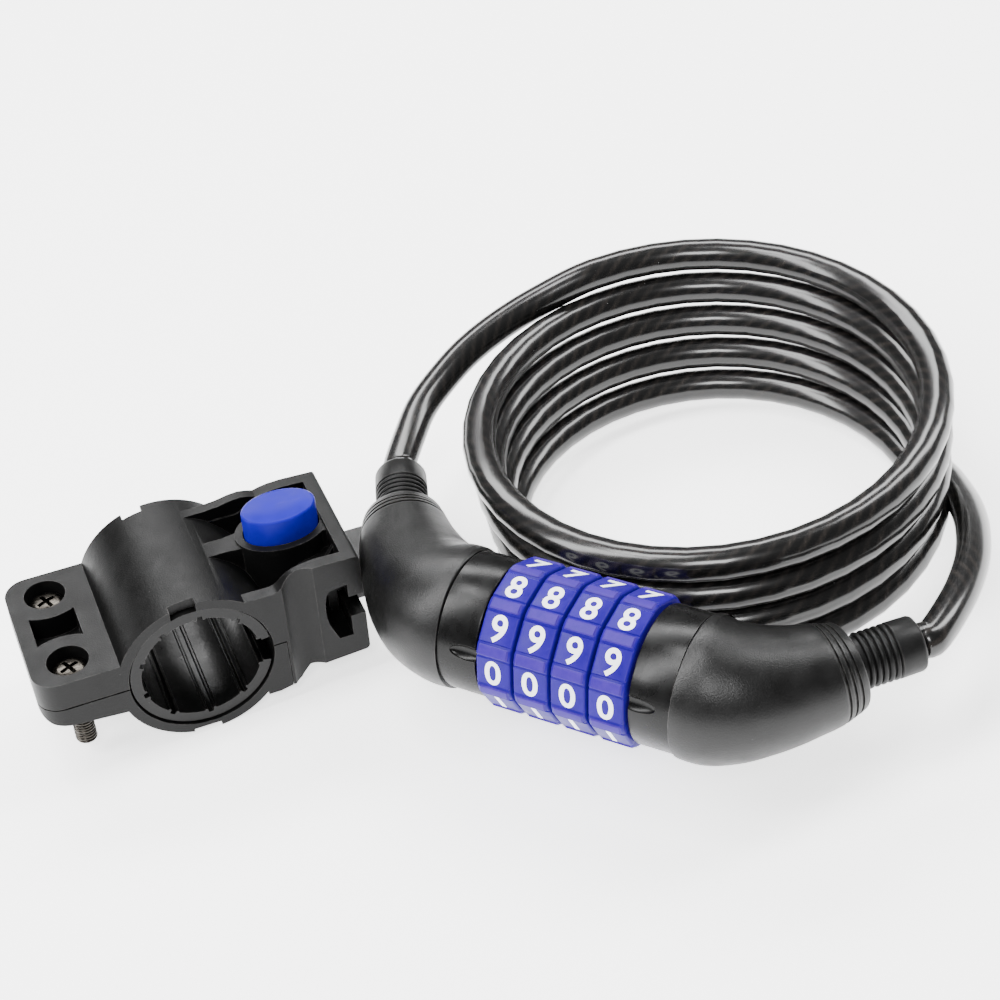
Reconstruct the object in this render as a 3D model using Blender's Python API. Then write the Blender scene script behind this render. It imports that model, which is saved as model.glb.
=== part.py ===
"""Bicycle coil-cable combination lock with its quick-release frame bracket.

The lock barrel carries four number dials between two collars. An elbow cover at each end turns
the cable back into the coil, and the right-hand elbow pulls out with the locking bolt. The
bracket is a two-part tube clamp with a lined bore, and a release button over a T-slot that
takes the lock's mounting lug.

Frame: metres, +Z up, +Y along the clamp's bore away from its front face, origin on the resting
surface under the middle of the lock and bracket together, cable left out.
"""
import bpy
import bmesh
import numpy as np
from math import acos, atan2, cos, pi, radians, sin, sqrt
from mathutils import Matrix, Vector

MM = 0.001
GAP = 0.3 * MM                      # clearance left between neighbouring pieces

# ---- placing ----
RING_FRONT = Vector((-52.04 * MM, 23.6 * MM, 19.5 * MM))   # centre of the clamp's front face
BRACKET_ROLL = radians(3.9)         # the clamp lies a little rolled about its bore
BARREL_FROM_RING = Vector((76.7 * MM, -43.1 * MM))
BARREL_HEIGHT = 26.4 * MM
BARREL_YAW = radians(-49.7)

# ---- lock barrel, along its own X ----
DIAL_COUNT = 4
DIGITS = 10
FIRST_FIELD = 23.9  # degrees from the barrel's rear to the nearest number field
DIAL_PITCH = 9.0 * MM
DIAL_WIDTH = 8.5 * MM
DIAL_FACET_R = 16.3 * MM
DIAL_RIDGE_R = 16.9 * MM
DIAL_BORE_R = 11.0 * MM
WHEEL_R = 10.7 * MM
WHEEL_BORE_R = 6.9 * MM
WHEEL_WIDTH = 7.2 * MM
CORE_R = 6.5 * MM
CORE_BORE_R = 4.4 * MM
BOLT_R = 4.0 * MM
TOOTH_R = 8.0 * MM
TOOTH_WIDTH = 2.4 * MM
TOOTH_THICK = 0.6 * MM
COLLAR_R = 15.6 * MM
SEAM_X = 27.8 * MM                  # where each elbow cover meets its collar
DIALS_END = DIAL_PITCH * DIAL_COUNT / 2 + 0.3 * MM

# ---- elbow covers: (along the barrel, away from it, radius) down the middle line ----
ELBOW_WALL = 2.4 * MM
LEFT_ELBOW = ((-28.0, 0.0, 16.2), (-31.5, 0.0, 16.3), (-36.2, 1.1, 15.7), (-40.6, 3.6, 14.6),
              (-44.8, 7.0, 13.5), (-48.6, 10.8, 12.6), (-52.2, 14.4, 12.0), (-55.2, 18.3, 11.1),
              (-58.0, 21.9, 10.3), (-59.5, 24.1, 9.6), (-60.7, 25.9, 8.0))
RIGHT_ELBOW = ((28.0, 0.0, 16.2), (31.5, 0.0, 16.2), (36.0, 1.3, 15.3), (40.6, 3.7, 14.1),
               (44.5, 6.4, 13.1), (47.9, 9.3, 12.2), (50.6, 11.9, 11.6), (52.8, 14.4, 10.7),
               (54.4, 16.4, 9.9), (55.6, 17.8, 8.2))
BOOT_R = 6.3 * MM
BOOT_BORE_R = 4.5 * MM
BOOT_LENGTH = 13.6 * MM
BOOT_RIBS = 5
LEFT_BOOT_HEADING = radians(122.5)
RIGHT_BOOT_HEADING = radians(46.0)

# ---- cable ----
CABLE_R = 4.0 * MM
COIL_X, COIL_Y = -5.6 * MM, 77.0 * MM     # middle of the first turn, in the barrel's frame
COIL_R = 55.1 * MM
COIL_TOP = 11.9 * MM                # middle of the cable at the back of the first turn
COIL_DROP = 8.05 * MM                # per turn
COIL_SHRINK = 1.1 * MM
COIL_DRIFT_X, COIL_DRIFT_Y = 1.55 * MM, -1.7 * MM
COIL_FROM, COIL_TO = -0.15, 4.12    # turns, counted from the back of the coil, clockwise
LEFT_LEAD = ((-72.6, 49.8, 0.6), (-74.4, 59.5, 1.8), (-73.8, 69.5, 3.4), (-71.7, 79.0, 5.4),
             (-67.4, 88.6, 7.6), (-60.8, 98.6, 10.0))
RIGHT_LEAD = ((44.6, 101.8, -18.6), (52.0, 93.2, -15.4), (58.2, 83.6, -11.8), (63.0, 73.0, -8.2),
              (66.6, 61.6, -5.0), (68.5, 50.0, -2.5), (68.9, 39.5, -0.8))

# ---- clamp, in the bracket's frame: X across, Y along the bore, Z up, from the ring's axis ----
RING_R = 19.5 * MM
BORE_R = 17.0 * MM
RING_DEPTH = 38.5 * MM
SPLIT = 0.3 * MM                    # half the gap between the clamp's halves
EAR_LEFT, EAR_TOP, EAR_BOTTOM = -37.3 * MM, 7.6 * MM, -5.4 * MM
EAR_CORNER_R = 5.5 * MM
SCREW_X = -28.4 * MM
SCREW_YS = (7.2 * MM, 31.2 * MM)
SCREW_R, SCREW_HOLE_R = 2.5 * MM, 2.8 * MM
HEAD_R, HEAD_HOLE_R = 4.25 * MM, 4.8 * MM
HEAD_LOW, HEAD_TOP = 2.6 * MM, 5.6 * MM
SCREW_TIP = -17.1 * MM
NUT_R, NUT_LOW, NUT_TOP = 4.3 * MM, -5.2 * MM, -2.2 * MM
BLOCK_RIGHT, BLOCK_TOP, BLOCK_LOW = 39.5 * MM, 19.0 * MM, -9.7 * MM
BLOCK_DEPTH = 35.5 * MM
BLOCK_WALL = 3.0 * MM
SIDE_WALL = 3.6 * MM
POCKET_FLOOR = 13.2 * MM
SLOT_LEFT, SLOT_RIGHT, SLOT_LOW, SLOT_TOP = 30.4 * MM, 35.9 * MM, -4.0 * MM, 11.6 * MM
NECK_LOW, NECK_TOP = 1.8 * MM, 7.8 * MM
BUTTON_X, BUTTON_Y = 26.6 * MM, 18.2 * MM
BUTTON_A, BUTTON_B = 8.8 * MM, 5.9 * MM
BUTTON_LOW, BUTTON_TOP = 16.4 * MM, 24.8 * MM
BUTTON_TRAVEL = 2.5 * MM
SPRING_X = 23.4 * MM
TUBE_TOP, TUBE_WALL = 18.3 * MM, 2.0 * MM
LINER_R, LINER_BORE_R, LINER_PAD_R = 16.6 * MM, 14.6 * MM, 13.6 * MM
LINER_DEPTH = 37.0 * MM
LUG_Y = (6.0 * MM, 20.0 * MM)


# ------------------------------------------------------------------ helpers
def clear_scene():
    for obj in list(bpy.data.objects):
        bpy.data.objects.remove(obj, do_unlink=True)


def material(name, colour, rough, metal=0.0, coat=0.0):
    made = bpy.data.materials.new(name)
    made.use_nodes = True
    shader = made.node_tree.nodes["Principled BSDF"]
    shader.inputs["Base Color"].default_value = (*colour, 1.0)
    shader.inputs["Roughness"].default_value = rough
    shader.inputs["Metallic"].default_value = metal
    shader.inputs["Coat Weight"].default_value = coat
    return made


def empty(name, location, rotation):
    made = bpy.data.objects.new(name, None)
    made.location = location
    made.rotation_euler = rotation
    bpy.context.scene.collection.objects.link(made)
    return made


def add_object(name, bm, mat, parent=None, sharp=30.0):
    """Object of a bmesh, with outward normals and smooth faces between its sharp edges."""
    bmesh.ops.recalc_face_normals(bm, faces=bm.faces)
    mesh = bpy.data.meshes.new(name)
    bm.to_mesh(mesh)
    bm.free()
    mesh.shade_smooth()
    mesh.set_sharp_from_angle(angle=radians(sharp))
    obj = bpy.data.objects.new(name, mesh)
    if mat:
        mesh.materials.append(mat)
    obj.parent = parent
    bpy.context.scene.collection.objects.link(obj)
    return obj


def cut(obj, bm, name, operation="DIFFERENCE"):
    """Boolean of obj with a helper shape, which stays hidden."""
    helper = add_object(f"{obj.name}.{name}", bm, None, obj.parent)
    helper.hide_render = True
    helper.display_type = "WIRE"
    modifier = obj.modifiers.new(name, "BOOLEAN")
    modifier.operation = operation
    modifier.object = helper
    modifier.solver = "EXACT"
    return obj


def loft(rings, closed=False):
    """Surface through rings of points: capped at both ends, or joined end to start if closed."""
    bm = bmesh.new()
    made = [[bm.verts.new(point) for point in ring] for ring in rings]
    pairs = list(zip(made, made[1:])) + ([(made[-1], made[0])] if closed else [])
    for low, high in pairs:
        count = len(low)
        for i in range(count):
            j = (i + 1) % count
            bm.faces.new((low[i], low[j], high[j], high[i]))
    if not closed:
        bm.faces.new(made[0][::-1])
        bm.faces.new(made[-1])
    return bm


def turned(profile, start=Vector((0, 0, 0)), along=Vector((1, 0, 0)), sides=32, tube=False):
    """Solid turned about an axis: profile is (distance along it, radius). A tube closes on itself."""
    along = along.normalized()
    side = along.orthogonal().normalized() if abs(along.x) < 0.999 else Vector((0, 0, 1))
    other = along.cross(side)
    rings = []
    for distance, radius in profile:
        middle = start + along * distance
        rings.append([middle + (side * cos(2 * pi * i / sides) + other * sin(2 * pi * i / sides)) * radius
                      for i in range(sides)])
    return loft(rings, closed=tube)


def prism(outline, low, high, axis="Y"):
    """Outline drawn in the plane across the axis, extruded from low to high."""
    place = {"X": lambda a, b, h: (h, a, b),
             "Y": lambda a, b, h: (a, h, b),
             "Z": lambda a, b, h: (a, b, h)}[axis]
    return loft([[Vector(place(a, b, h)) for a, b in outline] for h in (low, high)])


def box(low, high):
    (x0, y0, z0), (x1, y1, z1) = low, high
    return prism(((x0, y0), (x1, y0), (x1, y1), (x0, y1)), z0, z1, "Z")


def arc(x, y, radius, first, last, count):
    return [(x + radius * cos(radians(first + (last - first) * i / count)),
             y + radius * sin(radians(first + (last - first) * i / count))) for i in range(count + 1)]


def oval(x, y, a, b, sides=36):
    return [(x + a * cos(2 * pi * i / sides), y + b * sin(2 * pi * i / sides)) for i in range(sides)]


def smooth_path(points, per_span):
    """Points of a smooth curve through the given ones (Catmull-Rom)."""
    ends = [points[0] * 2 - points[1]] + list(points) + [points[-1] * 2 - points[-2]]
    made = []
    for a, b, c, d in zip(ends, ends[1:], ends[2:], ends[3:]):
        for i in range(per_span):
            t = i / per_span
            made.append(((b * 2) + (c - a) * t + (a * 2 - b * 5 + c * 4 - d) * t * t
                         + (b * 3 - a - c * 3 + d) * t ** 3) / 2)
    return made + [points[-1].copy()]


def swept_rings(path, radii, sides):
    """Rings square to a path that lies level."""
    rings = []
    for i, point in enumerate(path):
        along = (path[min(i + 1, len(path) - 1)] - path[max(i - 1, 0)]).normalized()
        across = Vector((-along.y, along.x, 0.0))
        turns = [2 * pi * k / sides for k in range(sides)]
        rings.append([point + (across * cos(t) + Vector((0, 0, 1)) * sin(t)) * radii[i] for t in turns])
    return rings


# ------------------------------------------------------------------ lock pieces
def dial_outline():
    """Ten flat number fields with a raised grip bar between neighbours."""
    points = []
    step = 2 * pi / DIGITS
    for k in range(DIGITS):
        middle = radians(FIRST_FIELD) + k * step
        for angle, radius in ((-0.40, DIAL_RIDGE_R), (-0.32, DIAL_FACET_R), (0.32, DIAL_FACET_R),
                              (0.40, DIAL_RIDGE_R)):
            turn = middle + angle * step
            points.append((radius * cos(turn), radius * sin(turn)))
    return points


def make_dial(name, x, mat, parent):
    half, chamfer = DIAL_WIDTH / 2, 0.7 * MM
    outline = dial_outline()
    # the outline shrinks towards both rims, which are chamfered
    rings = []
    for offset, shrink in ((-half, chamfer), (-half + chamfer, 0.0), (half - chamfer, 0.0), (half, chamfer)):
        scale = 1 - shrink / DIAL_RIDGE_R
        rings.append([Vector((x + offset, a * scale, b * scale)) for a, b in outline])
    for offset in (half, -half):
        rings.append([Vector((x + offset, DIAL_BORE_R * a / sqrt(a * a + b * b),
                              DIAL_BORE_R * b / sqrt(a * a + b * b))) for a, b in outline])
    return add_object(name, loft(rings, closed=True), mat, parent)


def make_code_wheel(name, x, mat, parent):
    half = WHEEL_WIDTH / 2
    wheel = add_object(name, turned(((x - half, WHEEL_BORE_R), (x - half, WHEEL_R), (x + half, WHEEL_R),
                                     (x + half, WHEEL_BORE_R)), tube=True), mat, parent)
    slot_half = TOOTH_WIDTH / 2 + GAP
    keyway = box((x - DIAL_WIDTH, -slot_half, CORE_BORE_R), (x + DIAL_WIDTH, slot_half, TOOTH_R + GAP))
    return cut(wheel, keyway, "key")


def make_core(mat, parent):
    start, end = -38.0 * MM, SEAM_X - 1.0 * MM
    core = add_object("core_tube", turned(((start, CORE_BORE_R), (start, CORE_R), (end, CORE_R),
                                           (end, CORE_BORE_R)), tube=True), mat, parent)
    slot_half = TOOTH_WIDTH / 2 + GAP
    keyway = box((-DIALS_END - 2 * MM, -slot_half, 1 * MM), (end + 2 * MM, slot_half, 2 * CORE_R))
    return cut(core, keyway, "slot")


def make_bolt(mat, parent):
    """Locking bolt: a rod with one tooth at the left of each code wheel and a head in the elbow."""
    shoulder = SEAM_X + 1.0 * MM
    profile = ((-22 * MM, 2.6 * MM), (-20.5 * MM, BOLT_R), (shoulder, BOLT_R), (shoulder, 7.0 * MM),
               (38 * MM, 7.0 * MM))
    bolt = add_object("locking_bolt", turned(profile, sides=24), mat, parent)
    for k in range(DIAL_COUNT):
        x = (k - (DIAL_COUNT - 1) / 2) * DIAL_PITCH - DIAL_PITCH / 2 + GAP
        tooth = box((x - TOOTH_THICK / 2, -TOOTH_WIDTH / 2, 0.5 * MM),
                    (x + TOOTH_THICK / 2, TOOTH_WIDTH / 2, TOOTH_R))
        cut(bolt, tooth, f"tooth_{k + 1}", "UNION")
    hole = turned(((-9 * MM, 1.3 * MM), (9 * MM, 1.3 * MM)), Vector((34 * MM, 0, 0)), Vector((0, 0, 1)), 16)
    return cut(bolt, hole, "pin_hole")


def make_collar(name, side, mat, parent):
    near, far = DIALS_END, SEAM_X - GAP
    profile = ((near, WHEEL_BORE_R), (near, COLLAR_R - 0.5 * MM), (near + 0.6 * MM, COLLAR_R),
               (far, COLLAR_R), (far, WHEEL_BORE_R))
    if side < 0:
        profile = [(-x, r) for x, r in profile]
    collar = add_object(name, turned(profile, sides=48, tube=True), mat, parent)
    slot_half = TOOTH_WIDTH / 2 + GAP
    if side > 0:
        keyway = box((near - 2 * MM, -slot_half, CORE_BORE_R), (far + 2 * MM, slot_half, TOOTH_R + GAP))
        cut(collar, keyway, "key")
    return collar


def elbow_path(points):
    return [Vector((x * MM, y * MM, 0)) for x, y, _ in points], [r * MM for _, _, r in points]


def make_elbow(name, points, mat, parent):
    """Hollow cover: outer skin forward, inner skin back, joined by its two rims."""
    sides = 28
    middle, radii = elbow_path(points)
    outer = swept_rings(middle, radii, sides)
    inner = swept_rings(middle, [max(r - ELBOW_WALL, BOOT_BORE_R) for r in radii], sides)
    return add_object(name, loft(outer + inner[::-1], closed=True), mat, parent)


def boot_frame(points, heading):
    """Where a boot starts on its elbow's end, and the way it points."""
    x, y, _ = points[-1]
    along = Vector((cos(heading), sin(heading), 0))
    return Vector((x * MM, y * MM, 0)) + along * (1.2 * MM), along


def make_boot(name, points, heading, mat, parent):
    """Strain relief: ribbed at its root and plain at its mouth, with the cable's hole through it."""
    start, along = boot_frame(points, heading)
    ribbed, groove = 0.55 * BOOT_LENGTH, 0.7 * MM
    step = ribbed / BOOT_RIBS
    profile = [(0.0, BOOT_R - groove)]
    for k in range(BOOT_RIBS):
        profile += [((k + 0.35) * step, BOOT_R - groove), ((k + 0.5) * step, BOOT_R),
                    ((k + 0.85) * step, BOOT_R)]
    profile += [(ribbed + 0.6 * MM, BOOT_R), (BOOT_LENGTH - 0.8 * MM, BOOT_R),
                (BOOT_LENGTH, BOOT_R - 0.7 * MM), (BOOT_LENGTH, BOOT_BORE_R), (0.0, BOOT_BORE_R)]
    return add_object(name, turned(profile, start, along, 20, tube=True), mat, parent)


def make_ferrule(name, points, heading, mat, parent):
    """Crimped cable end: a plain stem through the boot and a fat sleeve inside the elbow."""
    start, along = boot_frame(points, heading)
    profile = ((-5.0 * MM, 4.0 * MM), (0.0, 4.0 * MM), (0.0, 4.1 * MM), (BOOT_LENGTH, 4.1 * MM))
    return add_object(name, turned(profile, start, along, 20), mat, parent)


def make_reset_spring(mat, parent):
    """Wire spring round the core tube, in the left elbow."""
    turns, radius, wire, start, length = 4, 8.3 * MM, 0.6 * MM, -34.2 * MM, 4.6 * MM
    per_turn = 12
    steps = turns * per_turn
    path = [Vector((start + length * i / steps, radius * cos(2 * pi * i / per_turn),
                    radius * sin(2 * pi * i / per_turn))) for i in range(steps + 1)]
    rings = []
    for i, point in enumerate(path):
        along = (path[min(i + 1, steps)] - path[max(i - 1, 0)]).normalized()
        out = Vector((0, point.y, point.z)).normalized()
        up = along.cross(out)
        turned_by = [2 * pi * k / 5 for k in range(5)]
        rings.append([point + (out * cos(t) + up * sin(t)) * wire for t in turned_by])
    return add_object("reset_spring", loft(rings), mat, parent)


def make_core_nut(mat, parent):
    x0, x1 = -37.6 * MM, -35.2 * MM
    profile = ((x0, CORE_R + GAP), (x0, 8.6 * MM), (x1, 8.6 * MM), (x1, CORE_R + GAP))
    return add_object("core_nut", turned(profile, sides=24, tube=True), mat, parent)


# ------------------------------------------------------------------ cable
def coil_point(turn):
    angle = pi / 2 - 2 * pi * turn
    radius = COIL_R - COIL_SHRINK * turn
    return Vector((COIL_X + COIL_DRIFT_X * turn + radius * cos(angle),
                   COIL_Y + COIL_DRIFT_Y * turn + radius * sin(angle), COIL_TOP - COIL_DROP * turn))


def lead_routes():
    """Smooth routes of the two leads, each from its boot's mouth to its end of the coil."""
    left_start, left_way = boot_frame(LEFT_ELBOW, LEFT_BOOT_HEADING)
    left_mouth = left_start + left_way * (BOOT_LENGTH + GAP)
    left = [left_mouth + left_way * (d * MM) for d in (1.5, 4.0)] + [Vector(p) * MM for p in LEFT_LEAD]
    left += [coil_point(COIL_FROM), coil_point(COIL_FROM + 0.06)]
    right_start, right_way = boot_frame(RIGHT_ELBOW, RIGHT_BOOT_HEADING)
    right_mouth = right_start + right_way * (BOOT_LENGTH + GAP)
    right = [coil_point(COIL_TO - 0.06), coil_point(COIL_TO)] + [Vector(p) * MM for p in RIGHT_LEAD]
    right += [right_mouth + right_way * (d * MM) for d in (3.5, 1.5)]
    return [left_mouth] + smooth_path(left, 3), smooth_path(right, 3) + [right_mouth]


def cable_tube(name, path, radius, mat, parent):
    curve = bpy.data.curves.new(name, "CURVE")
    curve.dimensions = "3D"
    curve.bevel_depth = radius
    curve.bevel_resolution = 2
    curve.use_fill_caps = True
    spline = curve.splines.new("POLY")
    spline.points.add(len(path) - 1)
    for point, place in zip(spline.points, path):
        point.co = (*place, 1.0)
    if mat:
        curve.materials.append(mat)
    obj = bpy.data.objects.new(name, curve)
    obj.parent = parent
    bpy.context.scene.collection.objects.link(obj)
    return obj


def make_coil(mat, parent, left, right):
    """Outer shape of the coil: a leaning ring, grooved where the two leads run into it."""
    sides = 48
    rings = []
    last = COIL_TO + 0.13
    for turn, lift in ((0.0, CABLE_R), (last, -CABLE_R)):
        middle = Vector((COIL_X + COIL_DRIFT_X * turn, COIL_Y + COIL_DRIFT_Y * turn,
                         COIL_TOP - COIL_DROP * turn + lift))
        radius = COIL_R - COIL_SHRINK * turn
        rim = [Vector((cos(2 * pi * k / sides), sin(2 * pi * k / sides), 0)) for k in range(sides)]
        pair = [[middle + way * (radius + side * CABLE_R) for way in rim] for side in (1, -1)]
        rings += pair if lift < 0 else pair[::-1]
    coil = add_object("cable_coil", loft(rings, closed=True), mat, parent)
    for name, path in (("left_lead", left), ("right_lead", right)):
        curve = cable_tube(f"{name}_groove", path, CABLE_R + 2 * GAP, None, parent)
        mesh = bpy.data.meshes.new_from_object(curve)
        bpy.data.objects.remove(curve, do_unlink=True)
        bm = bmesh.new()
        bm.from_mesh(mesh)
        bmesh.ops.remove_doubles(bm, verts=bm.verts, dist=0.00001)
        cut(coil, bm, name)
    return coil


# ------------------------------------------------------------------ bracket pieces
def half_disc(radius, upper):
    """Half of a round, above or below the split."""
    edge = acos(SPLIT / radius) * 180 / pi
    middle = 90 if upper else 270
    return arc(0, 0, radius, middle - edge, middle + edge, 32)


def ear_outline(inner):
    """Ear seen from above: round outer corners, running into the ring at its inner side."""
    r, x, depth = EAR_CORNER_R, EAR_LEFT, RING_DEPTH
    corners = arc(x + r, depth - r, r, 90, 180, 6) + arc(x + r, r, r, 180, 270, 6)
    return [(inner, 0), (inner, depth)] + corners


def block_outline():
    right, low = BLOCK_RIGHT, BLOCK_LOW
    left_line = 20.2 * MM
    points = [(left_line, low - 4.2 * MM), (22.6 * MM, low - 3.6 * MM), (25.2 * MM, low - 0.8 * MM)]
    points += arc(right - 1.2 * MM, low + 1.2 * MM, 1.2 * MM, -90, 0, 4)
    points += arc(right - 0.8 * MM, BLOCK_TOP - 0.8 * MM, 0.8 * MM, 0, 90, 3)
    points += [(31.0 * MM, 19.4 * MM), (26.0 * MM, 19.1 * MM), (23.1 * MM, 18.4 * MM),
               (21.0 * MM, 17.2 * MM), (19.2 * MM, 15.9 * MM), (17.0 * MM, 15.3 * MM),
               (10.0 * MM, 15.2 * MM), (10.0 * MM, 12.0 * MM), (17.4 * MM, SPLIT), (left_line, SPLIT)]
    return points


def slot_outline():
    """T-slot: a wide hollow with a bowed left side, and a neck out through the right face."""
    points = [(SLOT_RIGHT, NECK_TOP), (SLOT_RIGHT, SLOT_TOP), (SLOT_LEFT + 1.6 * MM, SLOT_TOP - 0.5 * MM)]
    points += [(SLOT_LEFT, 8.6 * MM), (SLOT_LEFT - 0.3 * MM, 5.0 * MM), (SLOT_LEFT, 1.2 * MM),
               (SLOT_LEFT + 2.2 * MM, SLOT_LOW), (SLOT_RIGHT, SLOT_LOW), (SLOT_RIGHT, NECK_LOW)]
    outside = BLOCK_RIGHT + 2 * MM
    return points + [(outside, NECK_LOW), (outside, NECK_TOP)]


def make_clamp_upper(mat, parent):
    beyond = 2 * MM
    upper = add_object("clamp_upper", prism(block_outline(), 0, BLOCK_DEPTH), mat, parent)
    inside_right = BLOCK_RIGHT - SIDE_WALL
    inside_rear = BLOCK_DEPTH - BLOCK_WALL
    cut(upper, box((8 * MM, BLOCK_WALL, POCKET_FLOOR), (inside_right, inside_rear, 30 * MM)), "pocket")
    deep = box((8 * MM, BLOCK_WALL, 0.9 * MM), (27.6 * MM, inside_rear, POCKET_FLOOR + 1 * MM))
    cut(upper, deep, "deep_pocket")
    cut(upper, prism(half_disc(RING_R, True), 0, RING_DEPTH), "ring", "UNION")
    cut(upper, prism(ear_outline(-15 * MM), SPLIT, EAR_TOP, "Z"), "ear", "UNION")
    tube = oval(BUTTON_X, BUTTON_Y, BUTTON_A + GAP + TUBE_WALL, BUTTON_B + GAP + TUBE_WALL)
    cut(upper, prism(tube, 0.6 * MM, TUBE_TOP, "Z"), "button_tube", "UNION")
    cut(upper, prism(oval(0, 0, BORE_R, BORE_R, 64), -beyond, RING_DEPTH + beyond), "bore")
    hole = oval(BUTTON_X, BUTTON_Y, BUTTON_A + GAP, BUTTON_B + GAP)
    cut(upper, prism(hole, BUTTON_LOW - BUTTON_TRAVEL - GAP, 30 * MM, "Z"), "button_hole")
    cut(upper, turned(((3.4 * MM, 3.0 * MM), (20 * MM, 3.0 * MM)), Vector((SPRING_X, BUTTON_Y, 0)),
                      Vector((0, 0, 1)), 20), "spring_well")
    cut(upper, prism(slot_outline(), -beyond, BLOCK_DEPTH + beyond), "t_slot")
    cut(upper, box((27.9 * MM, 14.0 * MM, -8.7 * MM), (31.0 * MM, 22.4 * MM, 15 * MM)), "latch_shaft")
    cut(upper, box((30.5 * MM, 14.0 * MM, -8.7 * MM), (35.4 * MM, 22.4 * MM, -3.5 * MM)), "latch_well")
    for n, y in enumerate(SCREW_YS):
        axis = Vector((SCREW_X, y, 0))
        cut(upper, turned(((-1 * MM, SCREW_HOLE_R), (HEAD_LOW, SCREW_HOLE_R), (HEAD_LOW, HEAD_HOLE_R),
                           (12 * MM, HEAD_HOLE_R)), axis, Vector((0, 0, 1)), 28), f"screw_hole_{n + 1}")
    waist = []
    for y, first, last in ((SCREW_YS[0], 142, 38), (SCREW_YS[1], -38, -142)):
        waist += arc(SCREW_X, y, 6.6 * MM, first, last, 8)
    cut(upper, prism(waist, 1.6 * MM, 12 * MM, "Z"), "recess")
    cut(upper, box((-4.9 * MM, -beyond, 16.2 * MM), (1.1 * MM, 2.0 * MM, 22 * MM)), "front_notch")
    notch = box((-15.0 * MM, RING_DEPTH - 2.0 * MM, 11.0 * MM), (-9.5 * MM, RING_DEPTH + beyond, 22 * MM))
    cut(upper, notch, "rear_notch")
    return upper


def make_clamp_lower(mat, parent):
    beyond = 2 * MM
    lower = add_object("clamp_lower", prism(half_disc(RING_R, False), 0, RING_DEPTH), mat, parent)
    low = EAR_BOTTOM
    ear = [(-15 * MM, -SPLIT), (EAR_LEFT, -SPLIT)]
    ear += arc(EAR_LEFT + 3.5 * MM, low + 4.2 * MM, 3.5 * MM, 180, 262, 5)
    ear += [(-31 * MM, low), (-15 * MM, low - 1.4 * MM)]
    # round outer corners from above, and a round lower edge from the front
    cut(lower, prism(ear, 0.0, RING_DEPTH), "ear", "UNION")
    cheek = [(14.5 * MM, -SPLIT), (14.0 * MM, -14.6 * MM), (17.0 * MM, -14.6 * MM), (19.8 * MM, -13.9 * MM),
             (19.8 * MM, -SPLIT)]
    cut(lower, prism(cheek, 0.0, BLOCK_DEPTH), "cheek", "UNION")
    cut(lower, prism(oval(0, 0, BORE_R, BORE_R, 64), -beyond, RING_DEPTH + beyond), "bore")
    corner = EAR_CORNER_R
    for n, (y, y_out) in enumerate(((corner, -beyond), (RING_DEPTH - corner, RING_DEPTH + beyond))):
        wedge = [(EAR_LEFT - beyond, y), (EAR_LEFT, y)]
        bend = arc(EAR_LEFT + corner, y, corner, 180, 270 if n == 0 else 90, 6)
        wedge += bend[1:] + [(EAR_LEFT + corner, y_out), (EAR_LEFT - beyond, y_out)]
        cut(lower, prism(wedge, -12 * MM, 2 * MM, "Z"), f"corner_{n + 1}")
    for n, y in enumerate(SCREW_YS):
        axis = Vector((SCREW_X, y, 0))
        hole = turned(((-12 * MM, SCREW_HOLE_R), (2 * MM, SCREW_HOLE_R)), axis, Vector((0, 0, 1)), 24)
        cut(lower, hole, f"screw_hole_{n + 1}")
        pocket = turned(((-12 * MM, NUT_R + GAP), (NUT_TOP + GAP, NUT_R + GAP)), axis, Vector((0, 0, 1)), 6)
        cut(lower, pocket, f"nut_pocket_{n + 1}")
    cut(lower, box((-4.6 * MM, -beyond, -22 * MM), (1.9 * MM, 2.0 * MM, -18.2 * MM)), "front_notch")
    return lower


def make_liner(mat, parent):
    """Split sleeve with long pads inside it, seen in the bore."""
    outline = []
    first, last, pads = 9.0, 345.0, 11
    inner = []
    for k in range(pads):
        a0 = first + (last - first) * k / pads
        a1 = first + (last - first) * (k + 1) / pads
        wide = a1 - a0
        for share, radius in ((0.0, LINER_BORE_R), (0.22, LINER_BORE_R), (0.26, LINER_PAD_R),
                              (0.5, LINER_PAD_R), (0.74, LINER_PAD_R), (0.78, LINER_BORE_R)):
            turn = radians(a0 + wide * share)
            inner.append((radius * cos(turn), radius * sin(turn)))
    inner.append((LINER_BORE_R * cos(radians(last)), LINER_BORE_R * sin(radians(last))))
    outline = inner + arc(0, 0, LINER_R, last, first, 48)
    lead_in = 0.6 * MM
    return add_object("clamp_liner", prism(outline, lead_in, lead_in + LINER_DEPTH), mat, parent)


def make_screw(name, y, mat, parent):
    """Pan-head screw with a cross recess."""
    low = HEAD_LOW + GAP
    profile = ((SCREW_TIP, 1.9 * MM), (SCREW_TIP + 0.7 * MM, SCREW_R), (low, SCREW_R), (low, HEAD_R),
               (HEAD_TOP - 1.0 * MM, HEAD_R), (HEAD_TOP - 0.2 * MM, 3.2 * MM), (HEAD_TOP, 1.8 * MM))
    screw = add_object(name, turned(profile, Vector((SCREW_X, y, 0)), Vector((0, 0, 1)), 28), mat, parent)
    arm, half = 2.1 * MM, 0.45 * MM
    for n, (a, b) in enumerate(((arm, half), (half, arm))):
        recess = box((SCREW_X - a, y - b, HEAD_TOP - 1.5 * MM), (SCREW_X + a, y + b, HEAD_TOP + 1 * MM))
        cut(screw, recess, f"cross_{n + 1}")
    return screw


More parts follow.
